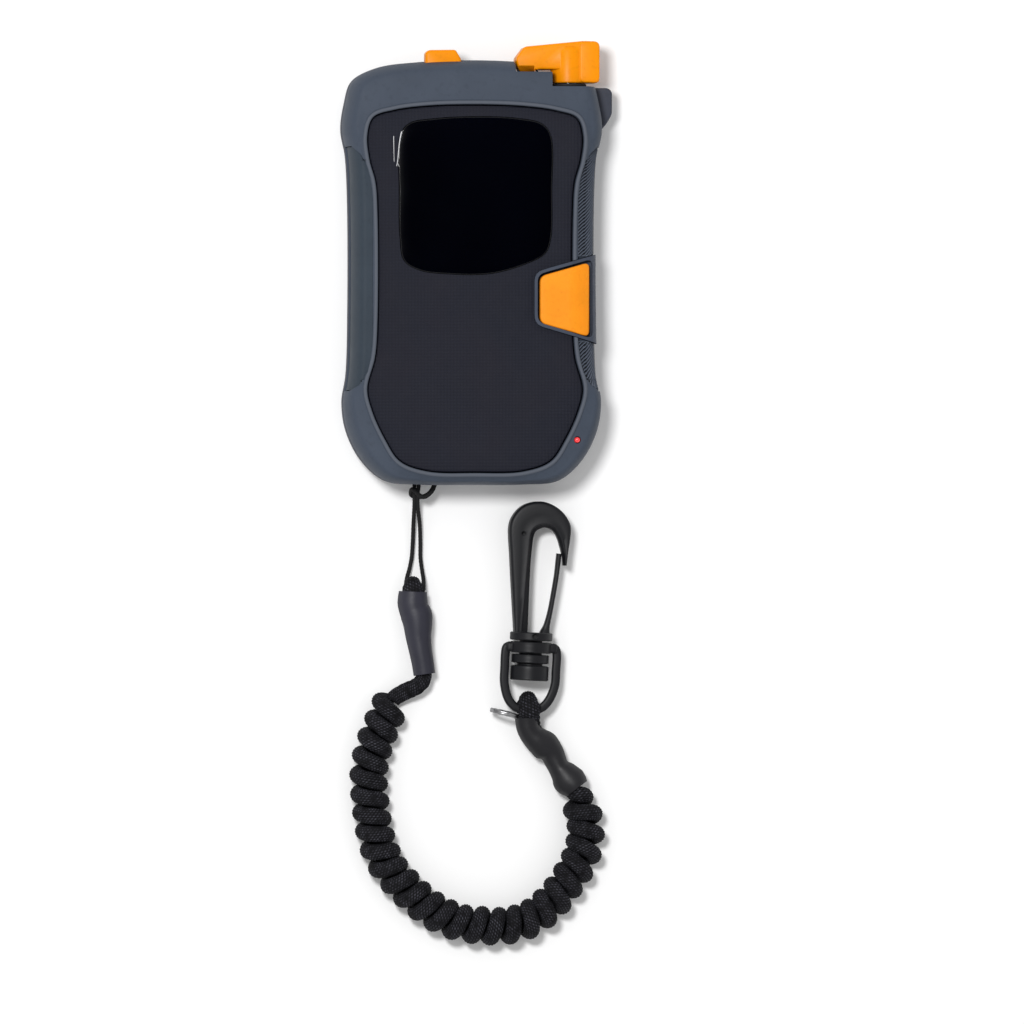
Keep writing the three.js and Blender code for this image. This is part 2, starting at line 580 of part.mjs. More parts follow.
function makeHook() {
  const { x, y, radius } = HOOK_HEAD;
  const shape = new THREE.Shape();
  shape.moveTo(-4.9, 20.6);
  shape.lineTo(-6.3, 34.4);
  shape.lineTo(x - radius, y);
  shape.absarc(x, y, radius, Math.PI, 0, true);
  shape.lineTo(8.5, 41);
  shape.quadraticCurveTo(8.4, 39.2, 7.4, 39.2);
  shape.lineTo(7.4, 43.2);
  shape.lineTo(6.6, 43.4);
  shape.lineTo(6, 45.4);
  shape.quadraticCurveTo(5, 49.4, 2.4, 49.4);
  shape.quadraticCurveTo(-0.8, 49.4, -1.1, 44);
  shape.lineTo(-1.3, 20.6);
  const outline = shape.getPoints(6).map((p) => [p.x, p.y]);
  const half = HOOK_THICK / 2;
  const body = prism(outline, [-half, half]);
  const collar = round('y', [SWIVEL_X, 0], [18.7, 21.1], 5.8, 24);
  return body.add(collar).subtract(round('y', [SWIVEL_X, 0], [0, 20.6], SWIVEL_POST + 0.15));
}

function makeGate() {
  const left = [[2.8, 21.4], [3.9, 26.6], [4.7, 32.2], [5.3, 37.7], [5.6, 42.6]];
  const right = [[7, 42.6], [6.6, 37.7], [6, 32.2], [5.2, 26.6], [4.4, 21.4]];
  return prism([...left, ...right], [-GATE_THICK / 2, GATE_THICK / 2]);
}

addPiece('swivel_yoke', makeYoke(), 'hook', hookLine);
addPiece('swivel_cap', makeSwivelCap(), 'hook', hookLine);
addPiece('snap_hook', makeHook(), 'hook', hookLine);
addPiece('hook_gate', makeGate(), 'hook', hookLine);

export default transceiver;
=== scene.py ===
import json
import math

import bpy
import bmesh
import numpy as np
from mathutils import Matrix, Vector, noise


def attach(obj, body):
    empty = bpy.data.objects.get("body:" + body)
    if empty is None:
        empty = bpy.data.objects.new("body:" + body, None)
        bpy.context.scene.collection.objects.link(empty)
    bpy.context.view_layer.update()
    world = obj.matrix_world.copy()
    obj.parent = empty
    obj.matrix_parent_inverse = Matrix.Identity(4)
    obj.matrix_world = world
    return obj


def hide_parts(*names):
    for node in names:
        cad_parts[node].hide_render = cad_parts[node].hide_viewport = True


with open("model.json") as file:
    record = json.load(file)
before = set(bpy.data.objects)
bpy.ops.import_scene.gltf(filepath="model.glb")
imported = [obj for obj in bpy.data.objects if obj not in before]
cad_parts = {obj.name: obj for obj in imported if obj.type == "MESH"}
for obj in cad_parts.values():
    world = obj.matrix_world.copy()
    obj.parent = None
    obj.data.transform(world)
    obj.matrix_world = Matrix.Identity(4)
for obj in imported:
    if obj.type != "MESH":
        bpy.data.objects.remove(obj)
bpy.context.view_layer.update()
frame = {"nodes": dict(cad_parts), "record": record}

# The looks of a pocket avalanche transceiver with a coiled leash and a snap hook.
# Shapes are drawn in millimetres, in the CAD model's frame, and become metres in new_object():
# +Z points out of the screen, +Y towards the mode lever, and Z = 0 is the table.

MM = 0.001
FULL_TURN = 2 * math.pi
QUARTER_TURN = math.pi / 2
UP = np.array([0.0, 0.0, 1.0])


def oblong(x, y):
    """The corners of an oblong between two places on X and two on Y, clockwise."""
    return [(x[0], y[1]), (x[1], y[1]), (x[1], y[0]), (x[0], y[0])]


# ---------------------------------------------------------------------------
# Driving dimensions

CASE_DEPTH = 24.0
SPLIT = 11.0  # height of the joint between the rear cover and the grip frame
WALL = FLOOR = 2.6
SHOULDER = 3.6  # how far the rounded upper edge pulls in
SHOULDER_LOW, SHOULDER_HIGH = 14.0, 22.5
RIM_FOOT = 23.3  # where the raised rim round the face begins
RIM_WIDTH = 1.25
FACE_LOW, FACE_TOP = 19.4, 22.6
WINDOW_LOW, WINDOW_TOP = 21.3, 22.8
ABOVE, BELOW, BEYOND = 40.0, -5.0, 90.0  # well clear of the case, for cuts that run right through
PER_POINT = 10  # steps along an outline for each of its points

# Outlines seen from above. A half runs down the right side, from the top end to the bottom end.
CASE_HALF = [
    (0, 57.2), (15, 56.6), (26, 55), (32.2, 51.6), (34.2, 45.5), (35.1, 38.5), (33.9, 31.5),
    (33.3, 20), (33.2, -10), (33.7, -27.5), (34.8, -35), (33.6, -43), (29.4, -51), (23.2, -56.2),
    (14, -57.2), (0, -57.3),
]
FACE_HALF = [
    (0, 45), (13, 44.6), (22, 43.4), (27.6, 41.4), (29.2, 36.5), (28.6, 30), (27, 24), (26.45, 16),
    (26.45, -14), (27.1, -23), (29.2, -31.5), (27.9, -37.5), (24.4, -45.2), (20.4, -51), (13, -53.7),
    (0, -54.1),
]
WINDOW = [
    (0, 41.7), (11, 41.3), (18, 39.8), (20.4, 36.6), (20.7, 22), (20.4, 9), (18.9, 5), (13, 1.9),
    (4, -0.5), (-7, -0.6), (-15, 0.4), (-19.2, 3), (-20.3, 9), (-20.5, 22), (-20.2, 36.6),
    (-17.8, 39.8), (-11, 41.1),
]
# Inner edge of the grip at the waist, from top to bottom.
GRIP_EDGE = [
    (34.8, 35), (31.2, 31.6), (28.9, 27.5), (27.9, 20), (27.9, -19), (28.9, -27), (31.4, -30.6),
    (34.8, -32.8),
]
GRIP_ENDS = (33.6, -31.9)
GRIP_THICK = 0.7
GRIP_ROOM = 0.15  # between a grip and the edges of its bed
GRIP_GAP = (4.2, -18.6)  # where the right grip stops for the side button
RIB_BAND = 6.2  # how far the ribs reach from the grip's inner edge
RIB_PITCH = 0.95
ARM_RECESS = (11.0, 53.9)
HUB_RECESS = (20.9, 50.0)
BUTTON_CORNERS = [(17.4, -1.2), (30.9, 2.65), (30.9, -17.55), (17.4, -13.8)]
FRAME_CORNERS = [(15.9, -0.1), (35.5, 5.5), (35.5, -19.9), (15.9, -14.2)]
SCREWS = [(-25.5, 24), (25.5, 24), (-24.5, -46), (24.5, -46), (-25, 46.5)]
WELL_CORNERS = [(16.75, -0.72), (31.75, 3.55), (31.75, -18.0), (16.75, -13.55)]
LED = (27.6, -45.2)
LEVER_X, LEVER_Z, HUB_RADIUS = 26.1, 14.0, 4.9
SHAFT_ROOM = 2.3  # radius of the holes that the lever's shaft passes through
BUTTON_WELL_LOW = 12.0
LEVER_ARM = [
    (11.4, 57.6), (13.8, 60.8), (29.8, 62.4), (33.5, 62.3), (34.1, 60.8), (34.1, 51.2), (26.1, 51.2),
    (26.1, 54.7), (17.3, 54.7), (16.4, 54.1), (12.7, 54.1), (12.0, 55.3),
]
LEVER_PANEL = oblong((28.6, 34.1), (51.15, 62.3))
OPTION_X = (-13.0, -3.3)
BACK_ROUNDING = 7.0  # height of the rounding along the back
DOOR = oblong((-19.9, 19.9), (-49.9, 16.2))
DOOR_ROOM = oblong((-20.2, 20.2), (-51.3, 16.5))
DOOR_HINGE = -49.7
LATCH_Y = 10.0
BAY_X = (-21.2, 21.2)  # across the battery bay, with its walls
LAND_LOW = 0.4  # where what stands on the back begins, inside its skin
LEASH_ROOM = oblong((-17, -7), (-62, -52.4))
SPEAKER = (-10.0, 42.0)
CELL_LENGTH, CELL_PITCH, CELL_Z = 44.5, 11.2, 7.6
CELL_LOW, CELL_LOW_FLIPPED = -44.0, -46.3

RIBS = 18  # ribs round the main cord

# Cord routes, which stay close to those of the CAD model.
THIN_CORD = 0.56
LEASH_ROUTE = [
    (-14.8, -86.4, 5.0), (-16.4, -86.0, 4.6), (-17.0, -84.6, 3.6), (-16.7, -82.6, 2.6),
    (-15.9, -80, 1.7), (-15.3, -77, 1.5), (-15.0, -73, 1.6), (-14.9, -68, 2.6), (-14.85, -64, 4.4),
    (-14.9, -61, 6.0), (-15.0, -58, 6.7), (-14.4, -54.5, 6.6), (-12, -53.3, 6.6),
    (-9.9, -54.5, 6.6), (-9.6, -57.2, 6.4), (-10.8, -59.4, 5.6), (-12.8, -60.5, 4.9),
    (-14.6, -60.5, 4.7), (-15.6, -60.1, 4.8), (-15.95, -59.1, 6.3), (-15.6, -58.4, 8.0),
    (-15.0, -58.9, 8.6), (-13.9, -60.0, 8.7), (-12.6, -60.6, 8.5), (-10.7, -59.4, 8.4),
    (-9.6, -57.2, 8.3), (-9.9, -54.5, 8.2), (-12, -53.3, 8.2), (-13.6, -54.6, 8.2),
    (-13.9, -57.6, 7.4), (-14.1, -60.8, 6.2), (-13.8, -64, 4.4), (-13.2, -68, 2.7),
    (-12.95, -73, 1.7), (-12.9, -77, 1.5), (-12.5, -80.5, 2.0), (-12.2, -83.6, 3.4),
    (-12.5, -85.8, 4.6), (-14.0, -86.4, 5.1),
]
LEAD_ROUTE = [
    (-12.3, -108.4, 5.2), (-12.7, -110.2, 5.1), (-14.3, -111.8, 4.6), (-16.9, -113.0, 3.6),
    (-19.6, -114.5, 2.6),
]
COIL_AXIS = 5.45  # height of the coil's axis
COIL_ROUTE = [(x, y, COIL_AXIS) for x, y in (
    (-21.0, -115.9), (-22.05, -118.2), (-24.1, -122.9), (-25.9, -127.9), (-27.0, -132.8),
    (-27.3, -137), (-27, -141.5), (-26.3, -147.2), (-25, -153.5), (-22.4, -159.8), (-18.6, -164.6),
    (-13.8, -169.3), (-8, -173.4), (-2.4, -175.6), (3.6, -176.4), (9.8, -176.5), (15.4, -175.1),
    (20.1, -172.2), (24, -168.2), (27.2, -163.6), (30, -158.8), (31.5, -153.4), (31.4, -147.8),
    (29.9, -142.6),
)] + [(28.6, -139.6, 5.0)]
KEY_RING = np.array([9.9, -119.0, 4.75])
YOKE = np.array([16.0, -118.1, 5.9])  # middle of the yoke's bar, where the cord goes round it
HOOK_TURN = math.radians(-2.85)
SWIVEL_X = -0.2  # how far the swivel's axis lies beside the yoke's middle line
HOOK_HALF = 2.95  # half the hook's thickness
# Outer, ridge and inner points of the hook from its collar round to its tip, as (across, along).
HOOK_STATIONS = [
    [(-4.85, 19.5), (-3.52, 19.5), (-1.35, 19.5)],
    [(-7.08, 41.1), (-2.56, 41.3), (-1.38, 41.4)],
    [(-7.73, 49.6), (-2.04, 48.0), (-0.83, 47.5)],
    [(-6.79, 52.4), (-1.33, 49.3), (-0.25, 48.5)],
    [(-4.66, 54.9), (-0.21, 50.1), (0.76, 49.1)],
    [(-1.8, 56.2), (1.21, 50.6), (1.78, 49.4)],
    [(1.12, 56.4), (2.65, 50.6), (2.87, 49.3)],
    [(3.86, 55.6), (3.94, 50.1), (3.93, 48.8)],
    [(6.42, 53.9), (4.98, 49.2), (4.74, 48.0)],
    [(8.11, 51.8), (5.96, 47.7), (5.52, 46.6)],
    [(8.94, 49.6), (6.75, 46.1), (6.05, 45.2)],
    [(8.5, 42.8), (7.7, 42.1), (7.1, 41.7)],
    [(8.25, 39.5), (7.8, 39.4), (7.4, 39.5)],
]
# The gate from root to tip, as (across, along, half width).
GATE_STATIONS = [
    (3.4, 20.6, 1.5), (3.45, 21.3, 1.3), (3.75, 22.6, 0.9), (4.55, 26.7, 0.66), (5.3, 32.2, 0.64),
    (5.85, 37.0, 0.64), (6.05, 40.0, 0.66), (6.2, 42.6, 0.68),
]
# The middle line of the yoke's bow, from one end of its bar to the other.
YOKE_LINE = [
    (-5.6, 17.2), (-6.7, 16.7), (-6.98, 15.3), (-6.98, 11), (-6.87, 7), (-5.5, 2.6), (-3.3, 0.45),
    (0, 0), (3.2, 0.5), (5.3, 2.6), (6.85, 6.8), (6.98, 11), (6.98, 15.3), (6.6, 16.7), (5.5, 17.2),
]

# ---------------------------------------------------------------------------
# Curves and outlines


def flowing(points, per, closed=False):
    """A centripetal Catmull-Rom curve through the points, with `per` steps between each two."""
    points = np.asarray(points, float)
    if closed:
        padded = np.vstack([points[-1:], points, points[:2]])
    else:
        padded = np.vstack([2 * points[0] - points[1], points, 2 * points[-1] - points[-2]])
    made = []
    for p0, p1, p2, p3 in zip(padded, padded[1:], padded[2:], padded[3:]):
        t1 = math.sqrt(np.linalg.norm(p1 - p0))
        t2 = t1 + math.sqrt(np.linalg.norm(p2 - p1))
        t3 = t2 + math.sqrt(np.linalg.norm(p3 - p2))
        t = np.linspace(t1, t2, per, endpoint=False)[:, None]
        a1 = (t1 - t) / t1 * p0 + t / t1 * p1
        a2 = (t2 - t) / (t2 - t1) * p1 + (t - t1) / (t2 - t1) * p2
        a3 = (t3 - t) / (t3 - t2) * p2 + (t - t2) / (t3 - t2) * p3
        b1 = (t2 - t) / t2 * a1 + t / t2 * a2
        b2 = (t3 - t) / (t3 - t1) * a2 + (t - t1) / (t3 - t1) * a3
        made.append((t2 - t) / (t2 - t1) * b1 + (t - t1) / (t2 - t1) * b2)
    return np.vstack(made if closed else made + [points[-1:]])


def unit(vectors):
    return vectors / np.linalg.norm(vectors, axis=1)[:, None]


def lengths_along(path):
    return np.concatenate([[0], np.cumsum(np.linalg.norm(np.diff(path, axis=0), axis=1))])


def evenly(path, step):
    """The path again, with its points about `step` apart. Extra columns are carried along."""
    along = lengths_along(path[:, :3])
    count = max(2, round(along[-1] / step) + 1)
    at = np.linspace(0, along[-1], count)
    return np.stack([np.interp(at, along, column) for column in path.T], axis=1)


def mirrored(half):
    return list(half) + [(-x, y) for x, y in half[-2:0:-1]]


def grown(outline, distance):
    """The outline, which runs clockwise, moved outwards by one distance or one for each point."""
    run = np.roll(outline, -1, axis=0) - np.roll(outline, 1, axis=0)
    out = np.stack([-run[:, 1], run[:, 0]], axis=1)
    return outline + np.reshape(distance, (-1, 1)) * out / np.linalg.norm(out, axis=1)[:, None]


def rounded(corners, radius, steps=6):
    """A polygon with round corners."""
    corners = np.asarray(corners, float)
    made = []
    for before, here, after in zip(np.roll(corners, 1, 0), corners, np.roll(corners, -1, 0)):
        start = here + (before - here) / np.linalg.norm(before - here) * radius
        end = here + (after - here) / np.linalg.norm(after - here) * radius
        for t in np.linspace(0, 1, steps):
            made.append((1 - t) ** 2 * start + 2 * t * (1 - t) * here + t**2 * end)
    return np.array(made)


def circle(radius, sides, centre=(0, 0)):
    """Clockwise, as every outline here."""
    angle = -FULL_TURN * np.arange(sides) / sides
    return np.stack([centre[0] + radius * np.cos(angle), centre[1] + radius * np.sin(angle)], axis=1)


def finer(outline, step):
    """A closed outline with points about `step` apart."""
    closed = np.vstack([outline, outline[:1]])
    return evenly(closed, step)[:-1]


def at_height(outline, z):
    return np.column_stack([outline, np.full(len(outline), float(z))])


case_outline = flowing(mirrored(CASE_HALF), PER_POINT, closed=True)
case_right = case_outline[: (len(CASE_HALF) - 1) * PER_POINT + 1]
face_outline = flowing(mirrored(FACE_HALF), PER_POINT, closed=True)
window_outline = flowing(WINDOW, PER_POINT, closed=True)
# The shoulder is tighter where the face comes close to the case's edge.
shoulder = np.minimum(SHOULDER, 0.4 * np.linalg.norm(case_outline - face_outline, axis=1))
frame_outline = finer(rounded(FRAME_CORNERS, 2.4), 1.0)

# ---------------------------------------------------------------------------
# Meshes


def new_object(name, points, faces):
    """An object from points in millimetres, with its faces turned outwards."""
    mesh = bpy.data.meshes.new(name)
    mesh.from_pydata((np.asarray(points, float) * MM).tolist(), [], faces)
    shape = bmesh.new()
    shape.from_mesh(mesh)
    bmesh.ops.recalc_face_normals(shape, faces=shape.faces)
    shape.to_mesh(mesh)
    shape.free()
    obj = bpy.data.objects.new(name, mesh)
    bpy.context.scene.collection.objects.link(obj)
    return obj


def loft(name, rings, joined=False):
    """A skin over rings of equally many points. It is capped at both ends, or joined end to end."""
    count = len(rings[0])
    faces = []
    for k in range(len(rings) if joined else len(rings) - 1):
        low, high = k * count, (k + 1) % len(rings) * count
        for i in range(count):
            j = (i + 1) % count
            faces.append((low + i, low + j, high + j, high + i))
    if not joined:
        faces.append(tuple(range(count)))
        faces.append(tuple(range((len(rings) - 1) * count, len(rings) * count)))
    return new_object(name, np.vstack(rings), faces)


def prism(name, outline, low, high):
    return loft(name, [at_height(outline, low), at_height(outline, high)])


def slab(name, outline, low, high, radius):
    """A prism whose upper and lower edges are rounded."""
    turn = np.linspace(0, QUARTER_TURN, 5)
    edge = [(radius * (1 - math.sin(t)), radius * (1 - math.cos(t))) for t in turn]
    rings = [at_height(grown(outline, -inset), low + rise) for inset, rise in edge]
    rings += [at_height(grown(outline, -inset), high - rise) for inset, rise in edge[::-1]]
    return loft(name, rings)


def block(x, y, z):
    return prism("block", np.array(oblong(x, y)), *z)


def rod(axis, at, ends, radius, sides=32):
    """A round bar along an axis; `at` holds its place on the other two, in X, Y, Z order."""
    across = circle(radius, sides, at)
    order = {"x": (2, 0, 1), "y": (0, 2, 1), "z": (0, 1, 2)}[axis]
    return loft("rod", [at_height(across, end)[:, order] for end in ends])


def turned(name, profile, place, sides=48):
    """A profile of (radius, height) pairs turned about the Z axis and put in place by `place`."""
    rings = []
    for radius, height in profile:
        rings.append(place(at_height(circle(max(radius, 0.02), sides), height)))
    return loft(name, rings)


def upright(x, y, z=0.0):
    """Puts a turned piece on an upright axis."""
    return lambda points: points + np.array([x, y, z])


def combine(obj, operation, *tools):
    """Joins, cuts or trims obj with each tool in turn, and uses the tools up."""
    for tool in tools:
        change = obj.modifiers.new("combine", "BOOLEAN")
        change.operation = operation
        change.solver = "MANIFOLD"
        change.object = tool
        apply_modifiers(obj)
        bpy.data.objects.remove(tool)
    return obj


def join(obj, *tools):
    return combine(obj, "UNION", *tools)


def cut(obj, *tools):
    return combine(obj, "DIFFERENCE", *tools)


def trim(obj, *tools):
    return combine(obj, "INTERSECT", *tools)


def apply_modifiers(obj):
    graph = bpy.context.evaluated_depsgraph_get()
    made = bpy.data.meshes.new_from_object(obj.evaluated_get(graph))
    obj.modifiers.clear()
    old = obj.data
    obj.data = made
    bpy.data.meshes.remove(old)


def finish_piece(obj, name, body, slot, *replaced, look=None, sharp=35):
    """Names a piece, shades it smooth up to a sharp edge, and gives it its look and its body."""
    obj.name = name
    mesh = obj.data
    mesh.name = name
    mesh.polygons.foreach_set("use_smooth", [True] * len(mesh.polygons))
    mesh.set_sharp_from_angle(angle=math.radians(sharp))
    mesh.materials.clear()
    mesh.materials.append(looks[look or slot])
    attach(obj, body)
    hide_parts(*replaced)


def pillow(name, outline, low, surface, radius, domes=6):
    """A plug with vertical sides, a rounded upper edge, and a top that follows surface(x, y)."""
    rings = [at_height(outline, low)]
    for t in np.linspace(0, 1, 5):
        ring = grown(outline, -radius * (1 - math.cos(t * QUARTER_TURN)))
        drop = radius * (1 - math.sin(t * QUARTER_TURN))
        rings.append(np.column_stack([ring, surface(ring[:, 0], ring[:, 1]) - drop]))
    edge, middle = rings[-1][:, :2], outline.mean(axis=0)
    for t in np.linspace(0, 0.97, domes + 1)[1:]:
        ring = edge * (1 - t) + middle * t
        rings.append(np.column_stack([ring, surface(ring[:, 0], ring[:, 1])]))
    return loft(name, rings)


def tube(name, path, hints, widths, heights, ripple=None, sides=24, hollow=0.0):
    """A tube along a path. hints point across it; widths and heights are its half sizes."""
    along = unit(np.gradient(path, axis=0))
    across = unit(hints - (hints * along).sum(1)[:, None] * along)
    lift = np.cross(along, across)
    angle = FULL_TURN * np.arange(sides) / sides
    rings = []
    for i, centre in enumerate(path):
        swell = np.ones(sides) if ripple is None else ripple(i, angle)
        x = (widths[i] * swell * np.cos(angle))[:, None] * across[i]
        y = (heights[i] * swell * np.sin(angle))[:, None] * lift[i]
        rings.append(centre + x + y)
    if not hollow:
        return loft(name, rings)
    inner = []
    for centre, ring, width in zip(path, rings, widths):
        inner.append(centre + (ring - centre) * (1 - hollow / width))
    return loft(name, rings + inner[::-1], joined=True)


# ---------------------------------------------------------------------------
# Materials


class Look:
    """A Principled material that is put together one effect at a time."""

    def __init__(self, name, colour, roughness, specular=0.35, metallic=0.0):
        self.material = bpy.data.materials.new(name)
        self.material.use_nodes = True
        self.tree = self.material.node_tree
        self.shader = self.tree.nodes["Principled BSDF"]
        self.set("Base Color", (*colour, 1))
        self.set("Roughness", roughness)
        self.set("Specular IOR Level", specular)
        self.set("Metallic", metallic)
        self.colour = self.constant(colour)
        self.height = None
        self.place = self.node("ShaderNodeTexCoord").outputs["Object"]

    def set(self, name, value):
        self.shader.inputs[name].default_value = value

    def node(self, kind, **values):
        made = self.tree.nodes.new(kind)
        for name, value in values.items():
            setattr(made, name, value)
        return made

    def link(self, output, target):
        self.tree.links.new(output, target)

    def axes(self, source=None):
        """The X, Y and Z of a place on the piece, or of another source."""
        split = self.node("ShaderNodeSeparateXYZ")
        self.link(source or self.place, split.inputs[0])
        return split.outputs

    def constant(self, colour):
        made = self.node("ShaderNodeRGB")
        made.outputs[0].default_value = (*colour, 1)
        return made.outputs[0]

    def math(self, operation, a, b=None):
        made = self.node("ShaderNodeMath", operation=operation)
        for value, target in ((a, made.inputs[0]), (b, made.inputs[1])):
            if isinstance(value, bpy.types.NodeSocket):
                self.link(value, target)
            elif value is not None:
                target.default_value = value
        return made.outputs[0]

    def noise(self, size, detail=3.0, stretch=(1, 1, 1)):
        """Noise with features of about `size` millimetres, from 0 to 1."""
        scaled = self.node("ShaderNodeMapping")
        self.link(self.place, scaled.inputs["Vector"])
        scaled.inputs["Scale"].default_value = stretch
        made = self.node("ShaderNodeTexNoise")
        made.inputs["Scale"].default_value = 1 / (size * MM)
        made.inputs["Detail"].default_value = detail
        self.link(scaled.outputs["Vector"], made.inputs["Vector"])
        return made.outputs["Fac"]

    def ramp(self, factor, low, high):
        made = self.node("ShaderNodeMapRange")
        made.inputs["From Min"].default_value = low
        made.inputs["From Max"].default_value = high
        self.link(factor, made.inputs["Value"])
        return made.outputs["Result"]

    def tint(self, factor, colour, amount=1.0):
        """Mixes a colour over the look where factor is high."""
        made = self.node("ShaderNodeMix", data_type="RGBA")
        self.link(self.math("MULTIPLY", factor, amount), made.inputs[0])
        self.link(self.colour, made.inputs[6])
        made.inputs[7].default_value = (*colour, 1)
        self.colour = made.outputs[2]
        return self

    def relief(self, height, depth):
        """Adds to the height that the bump reads; depth is in millimetres."""
        part = self.math("MULTIPLY", height, depth)
        self.height = part if self.height is None else self.math("ADD", self.height, part)
        return self

    def roughness(self, factor, low, high):
        made = self.node("ShaderNodeMapRange")
        made.inputs["To Min"].default_value = low
        made.inputs["To Max"].default_value = high
        self.link(factor, made.inputs["Value"])
        self.link(made.outputs["Result"], self.shader.inputs["Roughness"])
        return self

    def worn_edges(self, colour, amount, radius=0.35):
        """Lightens the edges, where a soft normal and the true one differ."""
        soft = self.node("ShaderNodeBevel", samples=4)
        soft.inputs["Radius"].default_value = radius * MM
        true = self.node("ShaderNodeNewGeometry").outputs["Normal"]
        turn = self.node("ShaderNodeVectorMath", operation="DOT_PRODUCT")
        self.link(soft.outputs["Normal"], turn.inputs[0])
        self.link(true, turn.inputs[1])
        edge = self.ramp(self.math("SUBTRACT", 1.0, turn.outputs["Value"]), 0.01, 0.25)
        patchy = self.math("MULTIPLY", edge, self.ramp(self.noise(2.5), 0.35, 0.7))
        return self.tint(patchy, colour, amount)

    def done(self, edge=0.25):
        """Links everything up. Edges read as rounded by `edge` millimetres."""
        self.link(self.colour, self.shader.inputs["Base Color"])
        soft = self.node("ShaderNodeBevel", samples=4)
        soft.inputs["Radius"].default_value = edge * MM
        normal = soft.outputs["Normal"]
        if self.height is not None:
            bump = self.node("ShaderNodeBump")
            bump.inputs["Distance"].default_value = MM
            bump.inputs["Strength"].default_value = 1.0
            self.link(self.height, bump.inputs["Height"])
            self.link(normal, bump.inputs["Normal"])
            normal = bump.outputs["Normal"]
        self.link(normal, self.shader.inputs["Normal"])
        return self.material


def lighter(colour, by):
    return tuple(min(1.0, c * by) for c in colour)


def moulded(name, colour, roughness, specular=0.3, grain=0.35, depth=0.02, wear=0.35):
    """Moulded rubber or plastic: fine grain, faint mottling and slightly rubbed edges."""
    look = Look(name, colour, roughness, specular)
    look.tint(look.ramp(look.noise(9, 4), 0.35, 0.75), lighter(colour, 1.18), 0.6)
    look.tint(look.ramp(look.noise(1.3, 2), 0.55, 0.8), lighter(colour, 0.8), 0.5)
    look.relief(look.noise(grain, 2), depth)
    look.roughness(look.noise(4, 3), roughness - 0.07, roughness + 0.07)
    look.worn_edges(lighter(colour, 1.9), wear)
    return look


def rubber(name, colour):
    return moulded(name, colour, 0.62, specular=0.16, grain=0.3, depth=0.03)


def frame_look(name, colour):
    """The frame's rubber, with a painted highlight along the crest of the rim round the face."""
    look = rubber(name, colour)
    # Painted highlight: the top of the rim round the face is painted lighter, where it catches the light.
    rim_crest_highlight = look.ramp(look.axes()["Z"], (CASE_DEPTH - 0.45) * MM, (CASE_DEPTH - 0.15) * MM)
    return look.tint(rim_crest_highlight, (0.095, 0.105, 0.128), 0.75).done(0.3)


def ribbed_look(name, colour):
    """Rubber with painted shade in the grooves and painted highlights on the ribs, told apart by the bend
    of the mesh.
    """
    look = rubber(name, colour)
    bend = look.node("ShaderNodeNewGeometry").outputs["Pointiness"]
    # Painted shade: the grooves are painted dark.
    look.tint(look.ramp(bend, 0.51, 0.44), lighter(colour, 0.12), 0.95)
    # Painted highlight: the crests of the ribs are painted pale.
    look.tint(look.ramp(bend, 0.52, 0.58), lighter(colour, 2.1), 0.9)
    return look.done(0.05)


def face_look():
    """Dark plastic with a fine diamond texture, with a painted highlight on the raised diamonds."""
    colour = (0.0058, 0.0067, 0.0130)
    look = Look("face_plastic", colour, 0.6, specular=0.2)
    place, pitch = look.axes(), 0.78
    waves = []
    for operation in ("ADD", "SUBTRACT"):
        diagonal = look.math(operation, place["X"], place["Y"])
        waves.append(look.math("SINE", look.math("MULTIPLY", diagonal, FULL_TURN / (pitch * MM))))
    diamonds = look.math("MULTIPLY", *waves)
    look.relief(diamonds, 0.045)
    look.relief(look.noise(0.25, 2), 0.015)
    # Painted highlight: the raised diamonds are painted lighter.
    look.tint(look.ramp(diamonds, 0.1, 0.9), lighter(colour, 3.0), 0.8)
    look.tint(look.ramp(look.noise(14, 3), 0.4, 0.7), (0.0105, 0.0095, 0.0165), 0.5)
    look.roughness(look.noise(3, 2), 0.5, 0.66)
    return look.done(0.2)


def window_look():
    look = Look("window_gloss", (0.0003, 0.0004, 0.0014), 0.07, specular=0.4)
    look.set("Coat Weight", 0.25)
    look.set("Coat Roughness", 0.04)
    look.tint(look.ramp(look.noise(30, 1), 0.4, 0.8), (0.0005, 0.0007, 0.0024), 1.0)
    look.roughness(look.noise(12, 4), 0.05, 0.1)
    return look.done(0.2)


def film_look():
    look = Look("film", (0.30, 0.30, 0.31), 0.25, specular=0.6)
    look.tint(look.ramp(look.noise(0.8, 2), 0.3, 0.7), (0.42, 0.42, 0.44), 0.7)
    return look.done(0.05)


def orange_look(name, colour, roughness):
    look = moulded(name, colour, roughness, specular=0.11, grain=0.5, depth=0.008, wear=0.1)
    look.set("Subsurface Weight", 0.08)
    look.set("Subsurface Scale", 0.6 * MM)
    look.set("Subsurface Radius", (1.0, 0.35, 0.1))
    return look.done(0.35)


def steel_look(name, colour):
    look = Look(name, colour, 0.3, metallic=1.0)
    look.tint(look.ramp(look.noise(1.5, 4), 0.4, 0.8), lighter(colour, 0.6), 0.8)
    look.relief(look.noise(0.12, 3, (1, 1, 9)), 0.01)
    look.roughness(look.noise(0.8, 3), 0.2, 0.42)
    return look.done(0.08)


def cord_look(name, colour, weave, depth):
    """A plain thin braid, with painted highlights where the weave stands up."""
    look = Look(name, colour, 0.78, specular=0.2)
    look.relief(look.noise(weave, 2), depth)
    # Painted highlight: the weave is painted lighter where its relief stands up.
    look.tint(look.ramp(look.noise(weave, 2), 0.5, 0.85), lighter(colour, 3.0), 0.5)
    look.tint(look.ramp(look.noise(5, 3), 0.45, 0.8), lighter(colour, 1.7), 0.6)
    return look.done(0.1)


